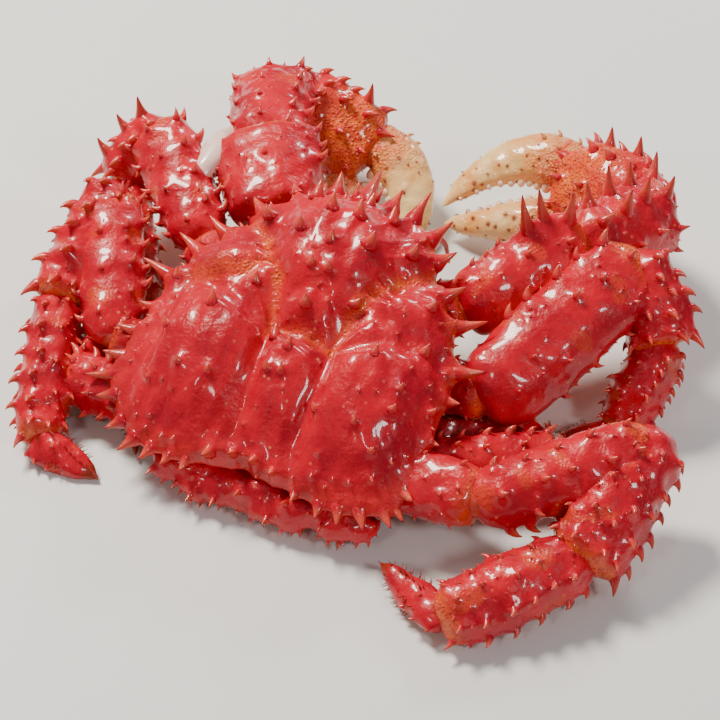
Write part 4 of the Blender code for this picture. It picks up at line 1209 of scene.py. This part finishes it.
sacs = []
for centre, radius in joints:
    sac = ball(centre, radius)
    sac[..., 2] = np.maximum(sac[..., 2], SAC_LOWEST)
    sacs.append(grid_part(sac))
add_piece("joint_skins", sacs, SKIN, ())
# The pad's pale colour is partly the membrane's own and partly a painted highlight
pad = ball(MEMBRANE_PLACE, MEMBRANE_RADIUS, 40, 60, MEMBRANE_STRETCH)
pad = pad + normals_of(pad) * ripples(pad, 7.0, 0.4, 61)[..., None]
add_piece("arm_membrane", [grid_part(pad)], MEMBRANE_AND_GLEAM, ())
print(len(sacs), "joints filled, and one pad of membrane")

# %% [markdown]
# ## The face
#
# Under the broad spike sit two dark, bean-shaped eyes on short thorny stalks. Beside
# them spring the feelers, ringed like a whip and drooping once boiled. Between them is
# the small, forked inner pair, and below, the bristly outer jaw feet close the mouth.

# %% Numbers of the face, right side
# Places along each organ from its root to its tip, and its radius there
HEAD = {
    "eyestalk": [((4, 36, 40), 2.6), ((5.5, 46, 42.5), 2.4), ((7.3, 54, 44.3), 2.3)],
    "eye": [((7.3, 54, 44.3), 2.5), ((8, 56.6, 45), 3.0)],
    "antenna_base": [((13, 34, 38), 4.2), ((16, 48, 42), 3.8), ((18.5, 56, 42), 2.6)],
    "antenna": [((18.5, 56, 42), 1.5), ((21, 63, 38), 1.2), ((23.5, 69, 29), 0.9), ((24.5, 71, 18), 0.5)],
    "antennule": [((2.2, 36, 37), 1.8), ((2.8, 52, 38.5), 1.4), ((4, 59, 41), 0.9), ((4.6, 61, 44.5), 0.5)],
    "jaw_foot": [
        ((7, 33, 28), 4.2), ((7.4, 42, 28.5), 4.5), ((7.7, 47.5, 30), 3.7), ((7.3, 50.8, 33), 2.8),
        ((6.3, 52, 36.2), 2.0), ((4.9, 51.5, 38), 1.1),
    ],
}
# Rings of the grids of the antenna's base, the antenna, the antennule and the jaw foot
BASE_RINGS = 60
WHIP_RINGS = 260
FORK_RINGS = 110
JAW_RINGS = 110
JAW_SIDES = 44
JAW_BRISTLES = 300
print(len(HEAD), "organs on each side of the face")


def smooth_path(stations, count, sign):
    """Points and radii on straight lines between the stations, rounded by a running mean."""
    places = np.array([point for point, _ in stations], float) * (sign, 1, 1)
    radii = np.array([radius for _, radius in stations], float)
    knots = np.arange(len(stations))
    fine = np.linspace(0, len(stations) - 1, count)
    values = np.stack([np.interp(fine, knots, column) for column in (*places.T, radii)], 1)
    width = max(3, count // (2 * len(stations)) * 2 + 1)
    kernel = np.hanning(width + 2)[1:-1]
    kernel /= kernel.sum()
    padded = np.pad(values, ((width // 2, width // 2), (0, 0)), mode="reflect", reflect_type="odd")
    values = np.stack([np.convolve(column, kernel, "valid") for column in padded.T], 1)
    return values[:, :3], values[:, 3]


def path_grid(path, radii, sides=24, stretch=1.0):
    """Rings round a path, each at right angles to it, rounded off at both ends."""
    axis = unit(np.gradient(path, axis=0))
    across = unit(np.cross(axis, [0.0, 0.0, 1.0]))
    out = np.cross(across, axis)
    turns = np.linspace(0, TURN, sides, endpoint=False)
    place = np.abs(np.linspace(-1, 1, len(path)))
    size = (radii * np.sqrt(np.clip(1 - place**24, 1e-4, 1)))[:, None, None]
    wide = np.cos(turns)[:, None] * across[:, None] * stretch
    deep = np.sin(turns)[:, None] * out[:, None]
    return path[:, None] + size * (wide + deep)


def knees(count, places, depth, width):
    """One for each ring, less a narrow bell of that depth at each of the places."""
    rings = np.arange(count)
    return 1 - depth * sum(np.exp(-(((rings - place) / width) ** 2)) for place in places)


# %% Eyes, feelers and jaw feet
def make_face(side, sign):
    """All the organs of one side of the face; the sign is 1 on the right, -1 on the left."""
    local = np.random.default_rng(50)
    path, radii = smooth_path(HEAD["eyestalk"], 40, sign)
    grid = path_grid(path, radii)
    rows, columns = np.array([18, 22, 26, 30]), np.array([6, 2, 8, 5])
    leans = np.tile([0, 1.0, 0.4], (4, 1))
    parts = thorned(grid, rows, columns, [1.8, 1.5, 1.6, 1.2], leans, 51, grain=0.5)
    add_piece(f"eyestalk_{side}_skin", parts, SHELL, [f"eyestalk_{side}"])

    (x0, y0, z0), _ = HEAD["eye"][0]
    (x1, y1, z1), top = HEAD["eye"][1]
    middle = [sign * (0.6 * x0 + 0.4 * x1 + 0.4), 0.35 * y0 + 0.65 * y1, 0.35 * z0 + 0.65 * z1]
    parts = [grid_part(ball(middle, top, 40, 56, (0.95, 1.22, 1.0)))]
    add_piece(f"eye_{side}_ball", parts, EYE, [f"eye_{side}"])

    path, radii = smooth_path(HEAD["antenna_base"], BASE_RINGS, sign)
    grid = path_grid(path, radii * knees(BASE_RINGS, (20, 41), 0.12, 1.6), 40)
    rows, columns = np.array([12, 26, 34, 44, 50]), np.array([10, 3, 17, 9, 0 if sign > 0 else 20])
    leans = unit(np.tile([sign * 0.3, 1.0, 0.2], (5, 1)))
    parts = thorned(grid, rows, columns, [2.4, 3.4, 2.8, 3.6, 4.4], leans, 52, grain=0.35)
    add_piece(f"antenna_base_{side}_skin", parts, SHELL, [f"antenna_base_{side}"])

    path, radii = smooth_path(HEAD["antenna"], WHIP_RINGS, sign)
    ringed = 1 + 0.08 * np.sin(np.arange(WHIP_RINGS) * TURN / 5)
    parts = [grid_part(path_grid(path, radii * ringed, 18))]
    add_piece(f"antenna_{side}_whip", parts, FEELER, [f"antenna_{side}"])

    path, radii = smooth_path(HEAD["antennule"], FORK_RINGS, sign)
    parts = [grid_part(path_grid(path, radii * knees(FORK_RINGS, (34, 70), 0.18, 2.0), 20))]
    for spread, rise in ((1.3, 0.6), (-0.6, -0.8)):
        fork = path[72:].copy()
        away = np.linspace(0, 1, len(fork))[:, None]
        fork += away * [sign * spread, 1.0, rise]
        parts.append(grid_part(path_grid(fork, np.linspace(0.55, 0.16, len(fork)), 12)))
    add_piece(f"antennule_{side}_fork", parts, FEELER, [f"antennule_{side}"])

    path, radii = smooth_path(HEAD["jaw_foot"], JAW_RINGS, sign)
    grid = path_grid(path, radii * knees(JAW_RINGS, (36, 62, 82, 97), 0.22, 1.6), JAW_SIDES, 1.15)
    parts = [grid_part(grid, grain=0.4, pale=0.1)]
    inner = JAW_SIDES // 2 if sign > 0 else 0
    rows = local.integers(40, 106, JAW_BRISTLES)
    columns = (inner + local.integers(-9, 10, JAW_BRISTLES)) % JAW_SIDES
    outs = normals_of(grid)[rows, columns]
    leans = unit(np.tile([-0.2 * sign, 0.8, 0.8], (JAW_BRISTLES, 1)))
    lengths = local.uniform(1.6, 3.4, JAW_BRISTLES)
    parts.append(thorns_part(grid[rows, columns], outs, leans, lengths, 0.14, dark=0.85))
    add_piece(f"jaw_foot_{side}_skin", parts, SHELL, [f"jaw_foot_{side}"])


for side, sign in (("right", 1), ("left", -1)):
    make_face(side, sign)
print("face made,", total_triangles, "triangles in all")

# %% [markdown]
# ## Floor, light and camera
#
# The crab rests on a plain pale floor. The strongest and broadest of four lights stands
# high over its left front, as the white gleams in the photograph show. Weaker ones stand
# on its right, in front of it and behind it, near the camera. The camera looks from
# behind the crab, a little from its right, down at 46 degrees.

# %% Stage, lights and camera
floor_mesh = bpy.data.meshes.new("floor")
floor_mesh.from_pydata([(-3, -3, 0), (3, -3, 0), (3, 3, 0), (-3, 3, 0)], [], [(0, 1, 2, 3)])
floor_material, _, floor_shader = new_material("floor_pale")
set_inputs(floor_shader, Base_Color=(0.74, 0.72, 0.69, 1), Roughness=0.55)
floor_mesh.materials.append(floor_material)
floor = bpy.data.objects.new("floor", floor_mesh)
bpy.context.scene.collection.objects.link(floor)

world = bpy.data.worlds.new("studio")
bpy.context.scene.world = world
world.use_nodes = True
set_inputs(world.node_tree.nodes["Background"], Color=(0.92, 0.95, 1.0, 1), Strength=0.2)


def look_at(thing, place, target):
    """Puts a lamp or camera at a place and turns it to the target, both in metres."""
    thing.location = place
    thing.rotation_euler = (Vector(target) - Vector(place)).to_track_quat("-Z", "Y").to_euler()


def add_light(name, place, size, watts, colour=(1, 1, 1)):
    """A round soft lamp that shines at the crab; its place and size are in metres."""
    light = bpy.data.lights.new(name, "AREA")
    light.shape = "DISK"
    light.size = size
    light.energy = watts
    light.color = colour
    made = bpy.data.objects.new(name, light)
    bpy.context.scene.collection.objects.link(made)
    look_at(made, place, (0, 0, 0.03))


add_light("key", (-0.75, 0.35, 1.15), 0.38, 36, (1.0, 0.94, 0.86))
add_light("fill", (0.9, -0.35, 0.8), 0.2, 4, (0.95, 0.97, 1.0))
add_light("rim", (0.1, 1.1, 0.7), 0.2, 6)
add_light("near", (-0.15, -1.0, 0.95), 0.16, 2.2, (1.0, 0.95, 0.88))

AZIMUTH = math.radians(24.0)
ELEVATION = math.radians(46.0)
DISTANCE = 700.0
TARGET = np.array([19.4, 2.6, 30.0])
# The photograph's scale at the crab, its width in pixels, and the camera's sensor
PIXELS_PER_MM = 2.95
IMAGE_WIDTH = 720
SENSOR_WIDTH = 36.0
back_way = np.array([
    math.sin(AZIMUTH) * math.cos(ELEVATION),
    -math.cos(AZIMUTH) * math.cos(ELEVATION),
    math.sin(ELEVATION),
])
eye_place = (TARGET + DISTANCE * back_way) * MM
camera_data = bpy.data.cameras.new("camera")
camera_data.sensor_width = SENSOR_WIDTH
camera_data.lens = SENSOR_WIDTH * PIXELS_PER_MM * DISTANCE / IMAGE_WIDTH
camera = bpy.data.objects.new("camera", camera_data)
bpy.context.scene.collection.objects.link(camera)
look_at(camera, tuple(eye_place), tuple(TARGET * MM))
bpy.context.scene.camera = camera
print("camera at", [round(float(v), 3) for v in eye_place], "lens", round(camera_data.lens, 1))
